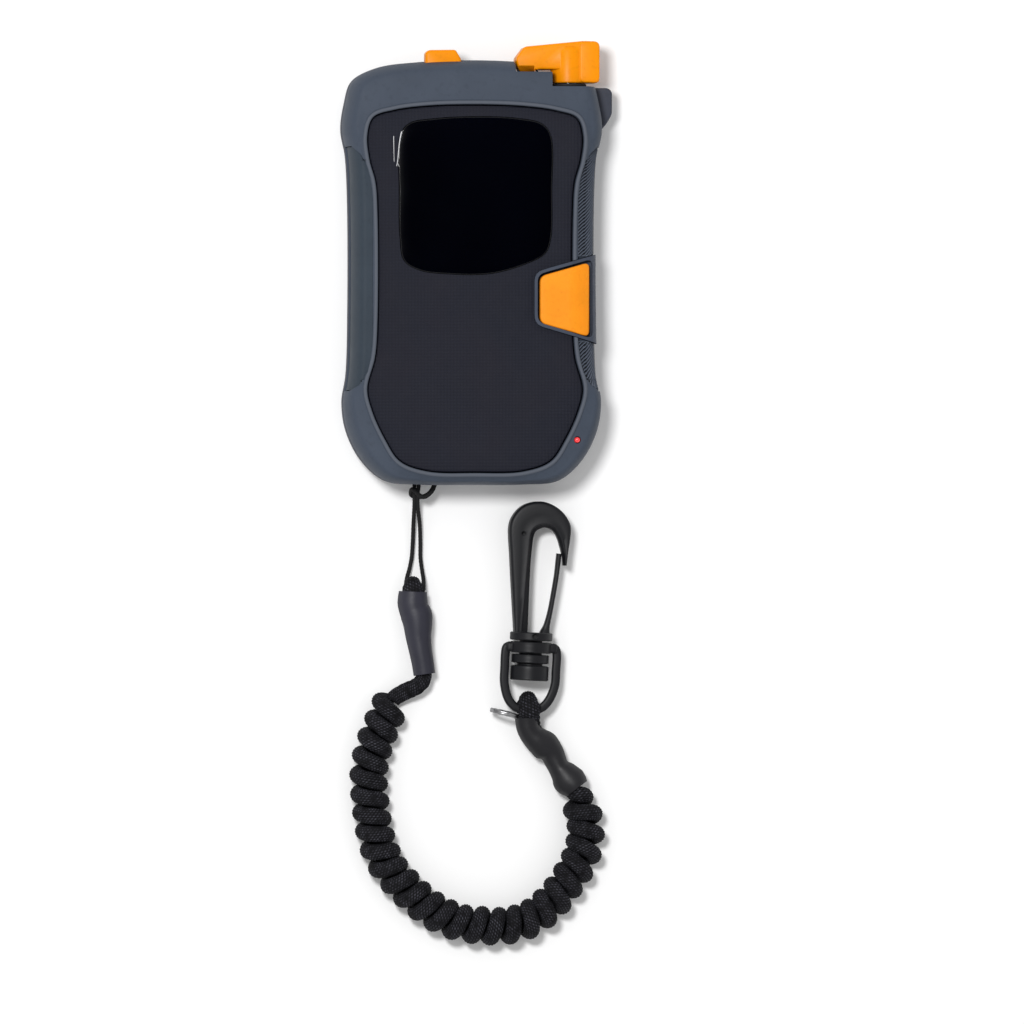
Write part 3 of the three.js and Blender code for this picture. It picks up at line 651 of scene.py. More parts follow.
def braid_look(name, colour, stitch=0.62):
    """A braided sheath: stitches along the ribs of the mesh, which step by half from rib to rib; the
    stitches stand up as relief and carry painted highlights.
    """
    look = Look(name, colour, 0.72, specular=0.12)
    place = look.axes(look.node("ShaderNodeUVMap", uv_map="along").outputs["UV"])
    rib = look.math("MULTIPLY", place["X"], RIBS)
    crest = look.math("ABSOLUTE", look.math("SINE", look.math("MULTIPLY", rib, math.pi)))
    step = look.math("ADD", look.math("DIVIDE", place["Y"], stitch), look.math("MULTIPLY", rib, 0.5))
    tick = look.ramp(look.math("SINE", look.math("MULTIPLY", step, FULL_TURN)), -0.6, 1.0)
    stitches = look.math("MULTIPLY", look.math("MULTIPLY", crest, crest), tick)
    # Painted highlight: the stitches on the rib crests are painted much lighter, in patches.
    patchy = look.math("MULTIPLY", stitches, look.ramp(look.noise(1.6, 3), 0.35, 0.65))
    look.tint(patchy, lighter(colour, 22), 0.8)
    look.tint(look.ramp(look.noise(6, 3), 0.5, 0.8), lighter(colour, 2.0), 0.4)
    look.relief(stitches, 0.10)
    look.relief(look.noise(0.25, 2), 0.03)
    return look.done(0.1)


def sleeve_look(name, colour):
    """Shrunk tubing: satin, faintly streaked along its length."""
    look = Look(name, colour, 0.48, specular=0.35)
    look.tint(look.ramp(look.noise(3.5, 3, (1, 0.35, 1)), 0.4, 0.75), lighter(colour, 1.35), 0.6)
    look.relief(look.noise(0.9, 3), 0.035)
    look.relief(look.noise(0.2, 2), 0.012)
    look.roughness(look.noise(2.5, 3), 0.38, 0.58)
    look.worn_edges(lighter(colour, 1.7), 0.4)
    return look.done(0.2)


def led_look():
    look = Look("led_lens", (0.75, 0.03, 0.04), 0.18, specular=0.6)
    look.set("Emission Color", (1.0, 0.05, 0.06, 1))
    look.set("Emission Strength", 0.35)
    look.tint(look.ramp(look.noise(0.6, 2), 0.4, 0.8), (1.0, 0.16, 0.14), 0.7)
    return look.done(0.1)


def board_look():
    look = Look("board", (0.014, 0.10, 0.04), 0.4)
    look.tint(look.ramp(look.noise(1.1, 1), 0.52, 0.56), (0.03, 0.17, 0.07), 0.8)
    look.relief(look.noise(1.1, 1), 0.05)
    return look.done(0.1)


def wound_look(name, colour, turns_mm):
    """Fine wire wound side by side, or the bands of a wound rod."""
    look = Look(name, colour, 0.35, metallic=0.8)
    wave = look.node("ShaderNodeTexWave")
    wave.inputs["Scale"].default_value = 1 / (turns_mm * MM) / FULL_TURN
    wave.bands_direction = "DIAGONAL"
    look.link(look.place, wave.inputs["Vector"])
    look.relief(wave.outputs["Fac"], 0.12)
    look.tint(wave.outputs["Fac"], lighter(colour, 0.5), 0.6)
    return look.done(0.1)


def cell_look():
    """A plain cell in a dark metallic sleeve."""
    look = Look("cell_sleeve", (0.07, 0.075, 0.08), 0.3, metallic=0.5)
    look.tint(look.ramp(look.noise(6, 3), 0.4, 0.8), (0.12, 0.125, 0.13), 0.6)
    look.relief(look.noise(1.4, 2), 0.02)
    look.roughness(look.noise(3, 3), 0.25, 0.4)
    return look.done(0.3)


looks = {
    "frame": frame_look("frame_rubber", (0.047, 0.059, 0.082)),
    "bezel": rubber("bezel_rubber", (0.046, 0.055, 0.078)).done(0.3),
    "grip": rubber("grip_rubber", (0.030, 0.041, 0.055)).done(0.3),
    "ribbed": ribbed_look("ribbed_rubber", (0.052, 0.061, 0.080)),
    "shell": moulded("shell_plastic", (0.037, 0.042, 0.060), 0.6, grain=0.5, depth=0.03).done(),
    "face": face_look(),
    "window": window_look(),
    "film": film_look(),
    "seal": moulded("seal_rubber", (0.012, 0.012, 0.014), 0.7).done(),
    "lever": orange_look("lever_orange", (0.80, 0.254, 0.0003), 0.36),
    "button": orange_look("button_orange", (0.82, 0.262, 0.010), 0.5),
    "steel": steel_look("steel", (0.56, 0.57, 0.58)),
    "ring_steel": steel_look("ring_steel", (0.40, 0.40, 0.41)),
    "dark_plastic": moulded("dark_plastic", (0.018, 0.019, 0.021), 0.5).done(),
    "board": board_look(),
    "ferrite": wound_look("ferrite_rod", (0.05, 0.045, 0.042), 0.9),
    "winding": wound_look("copper_winding", (0.55, 0.24, 0.09), 0.5),
    "led": led_look(),
    "cell": cell_look(),
    "thin_cord": cord_look("thin_cord_braid", (0.010, 0.010, 0.0105), 0.25, 0.04),
    "cord": braid_look("cord_braid", (0.0042, 0.0042, 0.0052)),
    "grey_sleeve": sleeve_look("grey_sleeve", (0.020, 0.020, 0.031)),
    "black_sleeve": sleeve_look("black_sleeve", (0.0075, 0.0073, 0.0095)),
    "hook": moulded("hook_plastic", (0.0055, 0.0057, 0.0076), 0.46, specular=0.26, grain=0.6,
                    depth=0.012, wear=0.5).done(0.35),
}

# ---------------------------------------------------------------------------
# Camera, light and floor

CAMERA_DISTANCE = 3.0
PICTURE_WIDTH = 0.27648  # metres across the picture, at the camera's target
CAMERA_TARGET = Vector((0.01107, -0.0646, 0.011))
CAMERA_LEAN = math.radians(5.66)  # towards -X


def make_camera():
    data = bpy.data.cameras.new("camera")
    data.sensor_width = 36.0
    data.lens = data.sensor_width * CAMERA_DISTANCE / PICTURE_WIDTH
    data.clip_end = 20
    camera = bpy.data.objects.new("camera", data)
    bpy.context.scene.collection.objects.link(camera)
    away = Vector((-math.sin(CAMERA_LEAN), 0, math.cos(CAMERA_LEAN)))
    camera.location = CAMERA_TARGET + away * CAMERA_DISTANCE
    camera.rotation_euler = (0, -CAMERA_LEAN, 0)
    bpy.context.scene.camera = camera


def make_light(name, direction, distance, size, power):
    data = bpy.data.lights.new(name, "AREA")
    data.shape = "DISK"
    data.size = size
    data.energy = power
    light = bpy.data.objects.new(name, data)
    bpy.context.scene.collection.objects.link(light)
    towards = Vector(direction).normalized()
    light.location = CAMERA_TARGET + towards * distance
    light.rotation_euler = towards.to_track_quat("Z", "Y").to_euler()


def make_world(strength):
    world = bpy.data.worlds.new("studio")
    world.use_nodes = True
    background = world.node_tree.nodes["Background"]
    background.inputs["Color"].default_value = (1, 1, 1, 1)
    background.inputs["Strength"].default_value = strength
    bpy.context.scene.world = world


def stage_plane(name, size, height, centre=(0, 0)):
    half = size / 2
    x, y = centre
    corners = [(x - half, y - half), (x + half, y - half), (x + half, y + half), (x - half, y + half)]
    plane = new_object(name, [(a, b, height) for a, b in corners], [(0, 1, 2, 3)])
    return plane


def make_floor():
    """A pale floor. It is clear from below and to what lies on it, so that undersides get light."""
    floor = stage_plane("floor", 12000, -0.15)
    material = bpy.data.materials.new("floor")
    material.use_nodes = True
    tree = material.node_tree
    tree.nodes.clear()
    output = tree.nodes.new("ShaderNodeOutputMaterial")
    paint = tree.nodes.new("ShaderNodeBsdfDiffuse")
    paint.inputs["Color"].default_value = (0.94, 0.94, 0.94, 1)
    clear = tree.nodes.new("ShaderNodeBsdfTransparent")
    side = tree.nodes.new("ShaderNodeNewGeometry")
    near = tree.nodes.new("ShaderNodeMath")
    near.operation = "LESS_THAN"
    near.inputs[1].default_value = CASE_DEPTH / 2 * MM
    tree.links.new(tree.nodes.new("ShaderNodeLightPath").outputs["Ray Length"], near.inputs[0])
    either = tree.nodes.new("ShaderNodeMath")
    either.operation = "MAXIMUM"
    tree.links.new(side.outputs["Backfacing"], either.inputs[0])
    tree.links.new(near.outputs[0], either.inputs[1])
    choice = tree.nodes.new("ShaderNodeMixShader")
    tree.links.new(either.outputs[0], choice.inputs[0])
    tree.links.new(paint.outputs[0], choice.inputs[1])
    tree.links.new(clear.outputs[0], choice.inputs[2])
    tree.links.new(choice.outputs[0], output.inputs[0])
    floor.data.materials.append(material)


def make_flag():
    """A black card overhead that only reflections see, as a studio hangs over a glossy screen."""
    flag = stage_plane("flag", 700, 900, (80, -60))
    material = bpy.data.materials.new("flag")
    material.use_nodes = True
    shader = material.node_tree.nodes["Principled BSDF"]
    shader.inputs["Base Color"].default_value = (0.002, 0.002, 0.002, 1)
    shader.inputs["Specular IOR Level"].default_value = 0
    flag.data.materials.append(material)
    flag.visible_camera = False
    flag.visible_diffuse = False
    flag.visible_shadow = False
    flag.visible_transmission = False


make_camera()
make_world(0.60)
make_light("key", direction=(-0.27, 0.22, 1.0), distance=0.95, size=0.18, power=6.1)
make_floor()
make_flag()
bpy.context.scene.view_settings.view_transform = "Standard"

# ---------------------------------------------------------------------------
# Cords

COIL_MEAN = 3.18  # from the coil's axis to the middle of the cord
CORD_RADIUS = 2.14
COIL_PITCH = 4.92
COIL_END = 5.0  # over this length the last turn closes in on the sleeve
LOOP_WIDTH, LOOP_THICK = 2.85, 1.45  # half sizes of the doubled cord in a loop
TIP_REACH, TIP_PINCH = 2.2, 0.9  # a loop is narrower by the second within the first of its tip
EYE_TIP, END_TIP = -83.4, -114.5
EYE_ROUTE = [
    (-14.2, -92.5, 4.9), (-14.9, -88.5, 3.7), (-15.2, -86.2, 3.4), (-15.3, -84.8, 3.6),
    (-15.35, -83.8, 4.3), (-15.4, EYE_TIP, 5.1), (-15.35, -83.8, 5.9), (-15.3, -84.8, 6.6),
    (-15.2, -86.2, 6.8), (-14.9, -88.5, 6.4), (-14.0, -93, 5.4),
]
FIRST_TUBE_ROUTE = [(-13.7, -97, 5.1), (-13.1, -102, 5.1)]
END_TUBE_ROUTE = [(26.0, -135.4, 4.6), (22.5, -130.2, 4.7), (19, -126.4, 4.9), (17, -124, 5.0)]
END_ROUTE = [
    (16.3, -122.0, 4.3), (16.1, -120.5, 3.7), (16.0, -118.6, 3.0), (15.9, -116.4, 3.1),
    (15.9, -115.0, 4.3), (15.9, END_TIP, 5.9), (15.9, -115.0, 7.5), (15.9, -116.4, 8.7),
    (16.0, -118.6, 8.8), (16.1, -120.5, 7.6), (16.4, -122.6, 6.4), (17.3, -125, 5.4),
]


def level_across(path):
    """Horizontal directions across a path that lies flat."""
    return unit(np.cross(np.gradient(path, axis=0), UP))


def wind(axis):
    """The cord's path round the coil's axis, and the axis directions beside it."""
    along = unit(np.gradient(axis, axis=0))
    side = level_across(axis)
    lift = np.cross(side, along)
    run = lengths_along(axis)
    # The first turn begins at the bottom.
    angle = (run / COIL_PITCH - 0.25) * FULL_TURN
    reach = COIL_MEAN * np.interp(run[-1] - run, (0, COIL_END), (0.1, 1))
    sway = np.array([noise.noise(Vector((s * 0.11, 4, 2))) for s in run])
    reach = (reach * (1 + 0.05 * sway))[:, None]
    spiral = np.cos(angle)[:, None] * side + np.sin(angle)[:, None] * lift
    return axis + reach * spiral, along


def make_main_cord():
    """The braided cord: an eye in the first sleeve, the coil, and the loop round the yoke."""
    coil, coil_hints = wind(evenly(flowing(COIL_ROUTE, 8), 0.25))
    eye, end = flowing(EYE_ROUTE, 6), flowing(END_ROUTE, 6)
    second = flowing(END_TUBE_ROUTE, 3)
    first = flowing(FIRST_TUBE_ROUTE + LEAD_ROUTE, 5)
    joined = np.vstack([eye, first, coil, second, end])
    hints = np.vstack([
        np.tile([1.0, 0.1, 0], (len(eye), 1)), level_across(first), coil_hints,
        np.tile([0.8, 0.6, 0], (len(second), 1)), np.tile([1.0, 0, 0], (len(end), 1)),
    ])
    in_loop = np.concatenate([
        np.ones(len(eye)), np.linspace(1, 0, len(first)) ** 0.5, np.zeros(len(coil)),
        np.linspace(0, 0.6, len(second)), np.ones(len(end)),
    ])
    tip_y = np.where(joined[:, 1] > -100, joined[:, 1] - EYE_TIP, joined[:, 1] - END_TIP)
    pinch = in_loop * np.clip(1 + tip_y / TIP_REACH, 0, 1)
    data = evenly(np.column_stack([joined, hints, in_loop, pinch]), 0.5)
    path, hints, share, pinch = data[:, :3], data[:, 3:6], data[:, 6], data[:, 7]
    run = lengths_along(path)
    puff = np.array([noise.noise(Vector((s * 0.35, 0, 3))) for s in run])
    plain = (CORD_RADIUS + 0.10 * puff) * (1 - share)
    widths = plain + (LOOP_WIDTH - TIP_PINCH * pinch) * share
    heights = plain + LOOP_THICK * share

    def ribs(i, angle):
        twist = 0.35 * noise.noise(Vector((run[i] * 0.2, 7, 1)))
        crest = np.abs(np.sin(RIBS / 2 * (angle + twist)))
        knots = 0.05 * share[i] * math.sin(run[i] * FULL_TURN / 1.9)
        return 0.90 + 0.115 * crest + knots

    cord = tube("cord", path, hints, widths, heights, ribs, sides=RIBS * 4)
    map_tube(cord, run, RIBS * 4)
    finish_piece(cord, "coiled_cord", "case", "cord", "coil_lead", "coil_cord", "end_loop", sharp=75)


def map_tube(obj, run, sides):
    """A UV map for a tube: its share of the way round, and its length in millimetres."""
    layer = obj.data.uv_layers.new(name="along")
    corner = np.empty(len(obj.data.loops), int)
    obj.data.loops.foreach_get("vertex_index", corner)
    ring, place = corner // sides, corner % sides
    around = place / sides
    for face in obj.data.polygons:
        if len(face.loop_indices) == 4:
            span = slice(face.loop_start, face.loop_start + 4)
            if place[span].max() - place[span].min() > sides / 2:
                around[span] = np.where(place[span] == 0, 1.0, around[span])
    layer.data.foreach_set("uv", np.column_stack([around, run[ring]]).ravel())


def make_lanyard():
    """The thin cord: through the eye of the main cord and hitched round the pin in the case."""
    path = evenly(flowing(LEASH_ROUTE, 8), 0.3)
    run = lengths_along(path)

    def strands(i, angle):
        return 1 + 0.10 * np.cos(3 * angle + run[i] * 3.2) * np.cos(3 * angle - run[i] * 3.2)

    size = np.full(len(path), THIN_CORD)
    lanyard = tube("lanyard", path, carried_hints(path), size, size, strands, sides=12)
    finish_piece(lanyard, "lanyard", "case", "thin_cord", "lanyard_loop", sharp=60)


def carried_hints(path):
    """Directions across a path that are carried along it without twisting."""
    along = unit(np.gradient(path, axis=0))
    hint = np.cross(along[0], UP)
    made = []
    for direction in along:
        hint = hint - hint.dot(direction) * direction
        hint /= np.linalg.norm(hint)
        made.append(hint)
    return np.array(made)


def make_sleeve(name, stations, slot, node, bulge, twist):
    """Shrunk tubing over the cord; stations are x, y, z and the half width and height there."""
    data = evenly(flowing(stations, 8), 0.5)
    path, widths, heights = data[:, :3], data[:, 3], data[:, 4]
    run = lengths_along(path)

    def lumps(i, angle):
        soft = noise.noise(Vector((run[i] * 0.16, twist, 5)))
        return 1 + bulge * np.cos(angle - run[i] * FULL_TURN / twist + soft)

    tubing = tube(name, path, level_across(path), widths, heights, lumps, sides=56, hollow=0.55)
    finish_piece(tubing, name, "case", slot, node, sharp=60)


def make_key_ring():
    """A split ring of two flat turns, seen edge on."""
    turn = np.linspace(0, 2 * FULL_TURN, 150)
    centre, tilt = KEY_RING, math.radians(-13)
    out = np.array([math.cos(tilt), math.sin(tilt), 0])
    axis = np.array([-math.sin(tilt), math.cos(tilt), 0])
    radius = 3.85 + 0.06 * np.sin(turn)
    path = centre + radius[:, None] * (np.cos(turn)[:, None] * out + np.sin(turn)[:, None] * UP)
    path = path + ((turn / turn[-1] - 0.5) * 0.9)[:, None] * axis
    size = np.full(len(path), 0.4)
    marks = lambda i, angle: np.full(len(angle), 1 + 0.08 * math.sin(i * 0.9))
    ring = tube("ring", path, np.tile(axis, (len(path), 1)), size, size, marks, sides=16)
    finish_piece(ring, "key_ring", "case", "steel", "split_ring", look="ring_steel", sharp=50)


LEASH_TUBE = [
    (-15.2, -86.1, 4.9, 3.8, 3.7), (-15.3, -89.2, 4.9, 4.1, 3.9), (-15.1, -90.7, 4.9, 3.98, 3.9),
    (-14.35, -92.4, 4.95, 4.3, 4.0), (-14.0, -94.7, 5.0, 4.0, 3.9), (-13.8, -98.2, 5.0, 3.5, 3.6),
    (-13.25, -101.8, 5.1, 3.15, 3.4), (-12.55, -105.4, 5.1, 3.0, 3.3), (-12.1, -108.5, 5.2, 2.95, 3.1),
]
END_TUBE = [
    (15.85, -120.1, 5.7, 3.4, 3.9), (15.95, -122.8, 5.5, 3.2, 3.8), (17.0, -124.9, 5.2, 3.25, 3.8),
    (18.7, -126.4, 5.0, 3.65, 3.9), (20.7, -127.8, 4.8, 4.05, 3.9), (22.4, -129.6, 4.5, 3.35, 3.7),
    (23.4, -131.8, 4.3, 3.05, 3.6), (24.5, -133.8, 4.3, 2.95, 3.6), (25.9, -135.4, 4.5, 3.85, 4.0),
    (27.2, -137.2, 4.8, 4.45, 4.2), (28.5, -138.7, 5.0, 4.0, 4.1), (29.2, -139.6, 5.1, 3.5, 3.8),
]
make_sleeve("leash_tube", LEASH_TUBE, "grey_sleeve", "leash_sleeve", 0.015, 21.0)
make_sleeve("end_tube", END_TUBE, "black_sleeve", "end_sleeve", 0.03, 9.5)
make_key_ring()
make_main_cord()
make_lanyard()

# ---------------------------------------------------------------------------
# Case


def back_rings(steps, grow=0.0):
    """Rings round the rounded edge of the back, moved outwards by `grow`."""
    rings = []
    for t in np.linspace(0, QUARTER_TURN, steps):
        inset, z = SHOULDER * (1 - math.sin(t)), BACK_ROUNDING * (1 - math.cos(t))
        rings.append(at_height(grown(case_outline, grow - inset), z - grow * math.cos(t)))
    return rings


def shoulder_rings(steps, grow=0.0):
    """Rings round the rounded upper edge, moved outwards by `grow`."""
    rings = []
    for t in np.linspace(0, QUARTER_TURN * 0.9, steps):
        z = SHOULDER_LOW + (SHOULDER_HIGH - SHOULDER_LOW) * math.sin(t)
        ring = grown(case_outline, grow - shoulder * (1 - math.cos(t)))
        rings.append(at_height(ring, z + grow * math.sin(t)))
    return rings


def case_form(grow=0.0):
    """The whole outer form of the case, moved outwards by `grow`."""
    rings = back_rings(9, grow) + shoulder_rings(12, grow)
    inner = grown(face_outline, RIM_WIDTH)
    outer = rings[-1][:, :2]
    low, high = rings[-1][0, 2], RIM_FOOT + grow
    for t in (0.35, 0.7, 1.0):
        ring = outer * (1 - t) + inner * t
        rings.append(at_height(ring, low * (1 - t) + high * t))
    rings.append(at_height(face_outline, CASE_DEPTH + grow))
    return loft("form", rings)


def waist_section(y, sink, edge_room):
    """The case's cross section at the waist, from the grip's inner edge out and down the side."""
    x_out = np.interp(-y, -case_right[:, 1], case_right[:, 0])
    x_edge = np.interp(-y, [-p[1] for p in GRIP_EDGE], [p[0] for p in GRIP_EDGE]) - edge_room
    x_edge = min(x_edge, x_out)
    points = []
    flat = x_out - SHOULDER
    crest = SHOULDER_HIGH
    if x_edge < flat:
        for t in np.linspace(0, 1, 8, endpoint=False):
            points.append((x_edge + (flat - x_edge) * t, crest + (RIM_FOOT - crest) * (1 - t)))
        first = QUARTER_TURN
    else:
        first = math.acos(max(0.0, 1 - (x_out - x_edge) / SHOULDER))
    for angle in np.linspace(first, 0, 24):
        x = x_out - SHOULDER * (1 - math.cos(angle))
        z = SHOULDER_LOW + (SHOULDER_HIGH - SHOULDER_LOW) * math.sin(angle)
        points.append((x, z))
    points.append((x_out, SPLIT + 0.5))
    run = evenly(np.array([(x, z, 0) for x, z in points]), 0.02)
    along = lengths_along(run)
    at = np.linspace(0, along[-1], 110)
    x, z = np.interp(at, along, run[:, 0]), np.interp(at, along, run[:, 1])
    tangent = unit(np.stack([np.gradient(x), np.gradient(z)], axis=1))
    return x + sink * tangent[:, 1], z - sink * tangent[:, 0], at


def grip_patch(side, y_from, y_to, sink, thick=GRIP_THICK, ribbed=False, edge_room=0.0, step=0.3):
    """A curved slab that covers the waist between two heights along the case."""
    outer, inner = [], []
    for y in np.linspace(y_from, y_to, max(2, round(abs(y_to - y_from) / step))):
        x, z, at = waist_section(y, sink, edge_room)
        x_in, z_in = waist_section(y, sink + thick, edge_room)[:2]
        if ribbed:
            # Ribs run up and outwards at a slant, and fade out before the smooth outer strip.
            slant = at * 0.8 + (y_from - y)
            rib = np.clip(np.sin(slant * FULL_TURN / RIB_PITCH) * 1.3, -1, 1)
            inside = np.clip(at / 0.5, 0, 1) * np.clip((RIB_BAND - at) / 0.4, 0, 1)
            ends = min(1.0, abs(y - y_from) / 0.7, abs(y - y_to) / 0.7)
            height = (0.27 * rib - 0.16) * inside * ends
            tangent = unit(np.stack([np.gradient(x), np.gradient(z)], axis=1))
            x, z = x - height * tangent[:, 1], z + height * tangent[:, 0]
        outer.append(np.column_stack([x * side, np.full(len(x), y), z]))
        inner.append(np.column_stack([x_in * side, np.full(len(x), y), z_in])[::-1])
    return loft("patch", [np.vstack(pair) for pair in zip(outer, inner)])


def make_face():
    outline = grown(face_outline, -0.28)
    crown = lambda x, y: FACE_TOP + 0.12 - 0.00012 * (x**2 + 0.3 * y**2)
    plate = pillow("plate", outline, FACE_LOW, crown, 0.4, domes=8)
    # A flange under the frame's edge closes the gap round the face.
    foot = FACE_LOW - 1.1
    flange = prism("flange", grown(face_outline, 1.0), foot, foot + 0.6)
    join(flange, prism("step", outline, foot, FACE_LOW + 0.4))
    cut(flange, prism("inside", grown(face_outline, -1.3), foot - 1, FACE_LOW + 0.1))
    join(plate, flange)
    cut(plate, prism("seat", grown(window_outline, 0.12), WINDOW_LOW - 0.1, ABOVE))
    cut(plate, prism("room", frame_outline, BUTTON_WELL_LOW, ABOVE))
    finish_piece(plate, "face_panel", "case", "face", "front_cover")


def make_window():
    crown = lambda x, y: WINDOW_TOP - 0.00005 * x**2
    glass = pillow("glass", window_outline, WINDOW_LOW, crown, 0.22)
    finish_piece(glass, "screen_window", "case", "window", "display_window")


def make_film_tab():
    """The pull tab of the screen's protective film: two bright edges with a dark gap between."""
    left = flowing([(-22.05, 36.4, 22.86), (-22.0, 33, 22.84), (-21.9, 29.5, 22.82)], 8)
    right = flowing([
        (-19.9, 37.6, 22.96), (-20.4, 35.2, 22.98), (-20.75, 32, 22.96), (-21.0, 29.5, 22.92),
        (-21.25, 28.3, 22.86),
    ], 8)
    fork = flowing([(-20.9, 29.0, 22.9), (-20.7, 28.5, 22.88), (-20.55, 28.2, 22.86)], 4)
    parts = []
    for path, half in ((right, 0.2), (left, 0.13), (fork, 0.12)):
        width = half * np.linspace(1, 0.6, len(path))
        parts.append(tube("edge", path, level_across(path), width, width * 0.6, sides=10))
    tab = join(*parts)
    finish_piece(tab, "film_tab", "case", "film", "window_film_tab")


def make_grips():
    left = grip_patch(-1, *GRIP_ENDS, sink=0.42)
    finish_piece(left, "grip_left", "case", "grip", "side_grip_left")
    upper = grip_patch(1, GRIP_ENDS[0], GRIP_GAP[0], sink=0.35, ribbed=True, step=0.12)
    lower = grip_patch(1, GRIP_GAP[1], GRIP_ENDS[1], sink=0.35, ribbed=True, step=0.12)
    for part in (upper, lower):
        cut(part, prism("room", grown(frame_outline, 0.25), BELOW, ABOVE))
    finish_piece(upper, "grip_right_upper", "case", "grip", "side_grip_right_upper", look="ribbed")
    finish_piece(lower, "grip_right_lower", "case", "grip", "side_grip_right_lower", look="ribbed")


def upper_rings():
    """Rings of the case's outer surface, from the joint up to the rim round the face."""
    rings = []
    for inset, z in ((0.35, SPLIT + 0.25), (0.08, SPLIT + 0.4), (0.0, SPLIT + 0.7)):
        rings.append(at_height(grown(case_outline, -inset), z))
    rings += shoulder_rings(14)
    outer, low = rings[-1][:, :2], rings[-1][0, 2]
    inner = grown(face_outline, RIM_WIDTH)
    for t in np.linspace(0, 1, 7)[1:]:
        rise = t**1.3
        rings.append(at_height(outer * (1 - t) + inner * t, low * (1 - rise) + RIM_FOOT * rise))
    return rings


def lower_rings():
    """Rings of the case's outer surface, from the flat back up to the joint."""
    edge = [(0, SPLIT - 0.35), (-0.3, SPLIT)]
    return back_rings(10) + [at_height(grown(case_outline, out), z) for out, z in edge]


def cut_recesses(obj, room=0.0):
    """Cuts the lever's two recesses; a cavity is cut `room` deeper, which leaves their walls."""
    for x, y in (ARM_RECESS, HUB_RECESS):
        cut(obj, block((x - room, BEYOND), (y - room, BEYOND), (BELOW, ABOVE)))
    return obj


def case_cavity(levels):
    """The hollow of a case half; levels are (inset, height) pairs, from the wall's inner side."""
    rings = [at_height(grown(case_outline, -WALL - inset), z) for inset, z in levels]
    return cut_recesses(loft("cavity", rings), WALL)


def make_grip_frame():
    # The rim round the face, as (outwards, height) from the face's edge.
    rim = [(1.05, 23.62), (0.9, 23.86), (0.7, 23.98), (0.45, CASE_DEPTH), (0.22, 23.9), (0.06, 23.68),
           (0.0, 23.35), (0.0, 19.0)]
    rings = upper_rings() + [at_height(grown(face_outline, out), z) for out, z in rim]
    shell = cut_recesses(loft("shell", rings))
    cut(shell, case_cavity(((0, 2), (0, 18.5), (2.5, 21.4))))
    top, bottom = GRIP_ENDS[0] + GRIP_ROOM, GRIP_ENDS[1] - GRIP_ROOM
    for side in (-1, 1):
        bed = grip_patch(side, top, bottom, sink=-3.0, thick=4.3, edge_room=GRIP_ROOM + 0.01, step=0.5)
        cut(shell, bed)
    cut(shell, prism("room", grown(frame_outline, 0.12), BUTTON_WELL_LOW, ABOVE))
    cut(shell, block((OPTION_X[0] - 0.3, OPTION_X[1] + 0.3), (53.0, BEYOND), (11.9, 18.1)))
    cut(shell, rod("z", LED, (SPLIT, ABOVE), 0.95))
    cut(shell, rod("y", (LEVER_X, LEVER_Z), (40, BEYOND), SHAFT_ROOM))
    finish_piece(shell, "bezel_frame", "case", "frame", "grip_frame")


def make_rear_cover():
    tub = cut_recesses(loft("tub", lower_rings()))
    cut(tub, case_cavity(((2.2, FLOOR), (0.6, 5), (0, 9), (0, 20))))
    bay_walls = block(BAY_X, (-52.6, 4), (LAND_LOW, 14.4))
    latch_land = block(BAY_X, (1.8, 17.6), (LAND_LOW, 5.5))
    leash_land = trim(block((-19, -5), (-60, -50.5), (LAND_LOW, SPLIT - 0.2)), case_form(-0.02))
    join(tub, bay_walls, latch_land, make_fin(), leash_land)
    for x, y in SCREWS:
        join(tub, trim(rod("z", (x, y), (1.2, SPLIT - 0.3), 3.2), case_form(-0.05)))
    cut(tub, prism("room", rounded(DOOR_ROOM, 1.2), BELOW, 2.2))
    cut(tub, block((-18, 18), (-49, 2), (BELOW, 13.2)), rod("z", (0, LATCH_Y), (1, 4.8), 2.7))
    for x, y in SCREWS:
        cut(tub, rod("z", (x, y), (BELOW, 2.9), 2.85), rod("z", (x, y), (2, ABOVE), 1.5))
    cut(tub, prism("room", rounded(LEASH_ROOM, 1.2), 3.6, 9.4))
    for i in range(-2, 3):
        half, y = 6.0 - 0.7 * abs(i), SPEAKER[1] + 3 * i
        slot = oblong((SPEAKER[0] - half, SPEAKER[0] + half), (y - 0.6, y + 0.6))
        cut(tub, prism("slot", rounded(slot, 0.55), BELOW, 3.5))
    finish_piece(tub, "back_shell", "case", "shell", "rear_cover")


def make_fin():
    """The guard beside the lever, which stops it from being knocked."""
    return slab("fin", finer(rounded([
        (29.5, 50), (37.2, 50), (38.3, 49.0), (38.3, 43.0), (36.9, 40.4), (33.4, 36.4), (29.5, 36.4),
    ], 0.6), 0.6), 2.2, SPLIT, 0.7)


make_grip_frame()
make_face()
make_window()
make_film_tab()
make_grips()
make_rear_cover()

# ---------------------------------------------------------------------------
# Controls


def make_lever():
    arm = slab("arm", finer(rounded(LEVER_ARM, 0.75), 0.3), LEVER_Z - 4.2, LEVER_Z + 4.2, 0.6)
    # The tip's lower edge is cut back under the thumb.
    wedge = np.array([(0, 55.9, 18.6), (0, 53.0, 18.6), (0, 53.0, 13.6)])
    cut(arm, loft("wedge", [wedge + [10, 0, 0], wedge + [16.4, 0, 0]]))
    profile = [(0, 51.1), (HUB_RADIUS - 0.25, 51.1), (HUB_RADIUS, 51.35), (HUB_RADIUS, 59.6),
               (HUB_RADIUS - 0.4, 60.7), (HUB_RADIUS - 1.5, 61.4), (0, 61.6)]
    hub = turned("hub", profile, on_lever_axis, sides=96)
    panel = slab("panel", finer(rounded(LEVER_PANEL, 1.6), 0.35), LEVER_Z - 4.5, LEVER_Z + 4.5, 0.5)
    join(arm, hub, panel)
    cut(arm, rod("y", (LEVER_X, LEVER_Z), (40, 57.8), SHAFT_ROOM))
    finish_piece(arm, "mode_lever", "lever", "lever", "switch_lever")


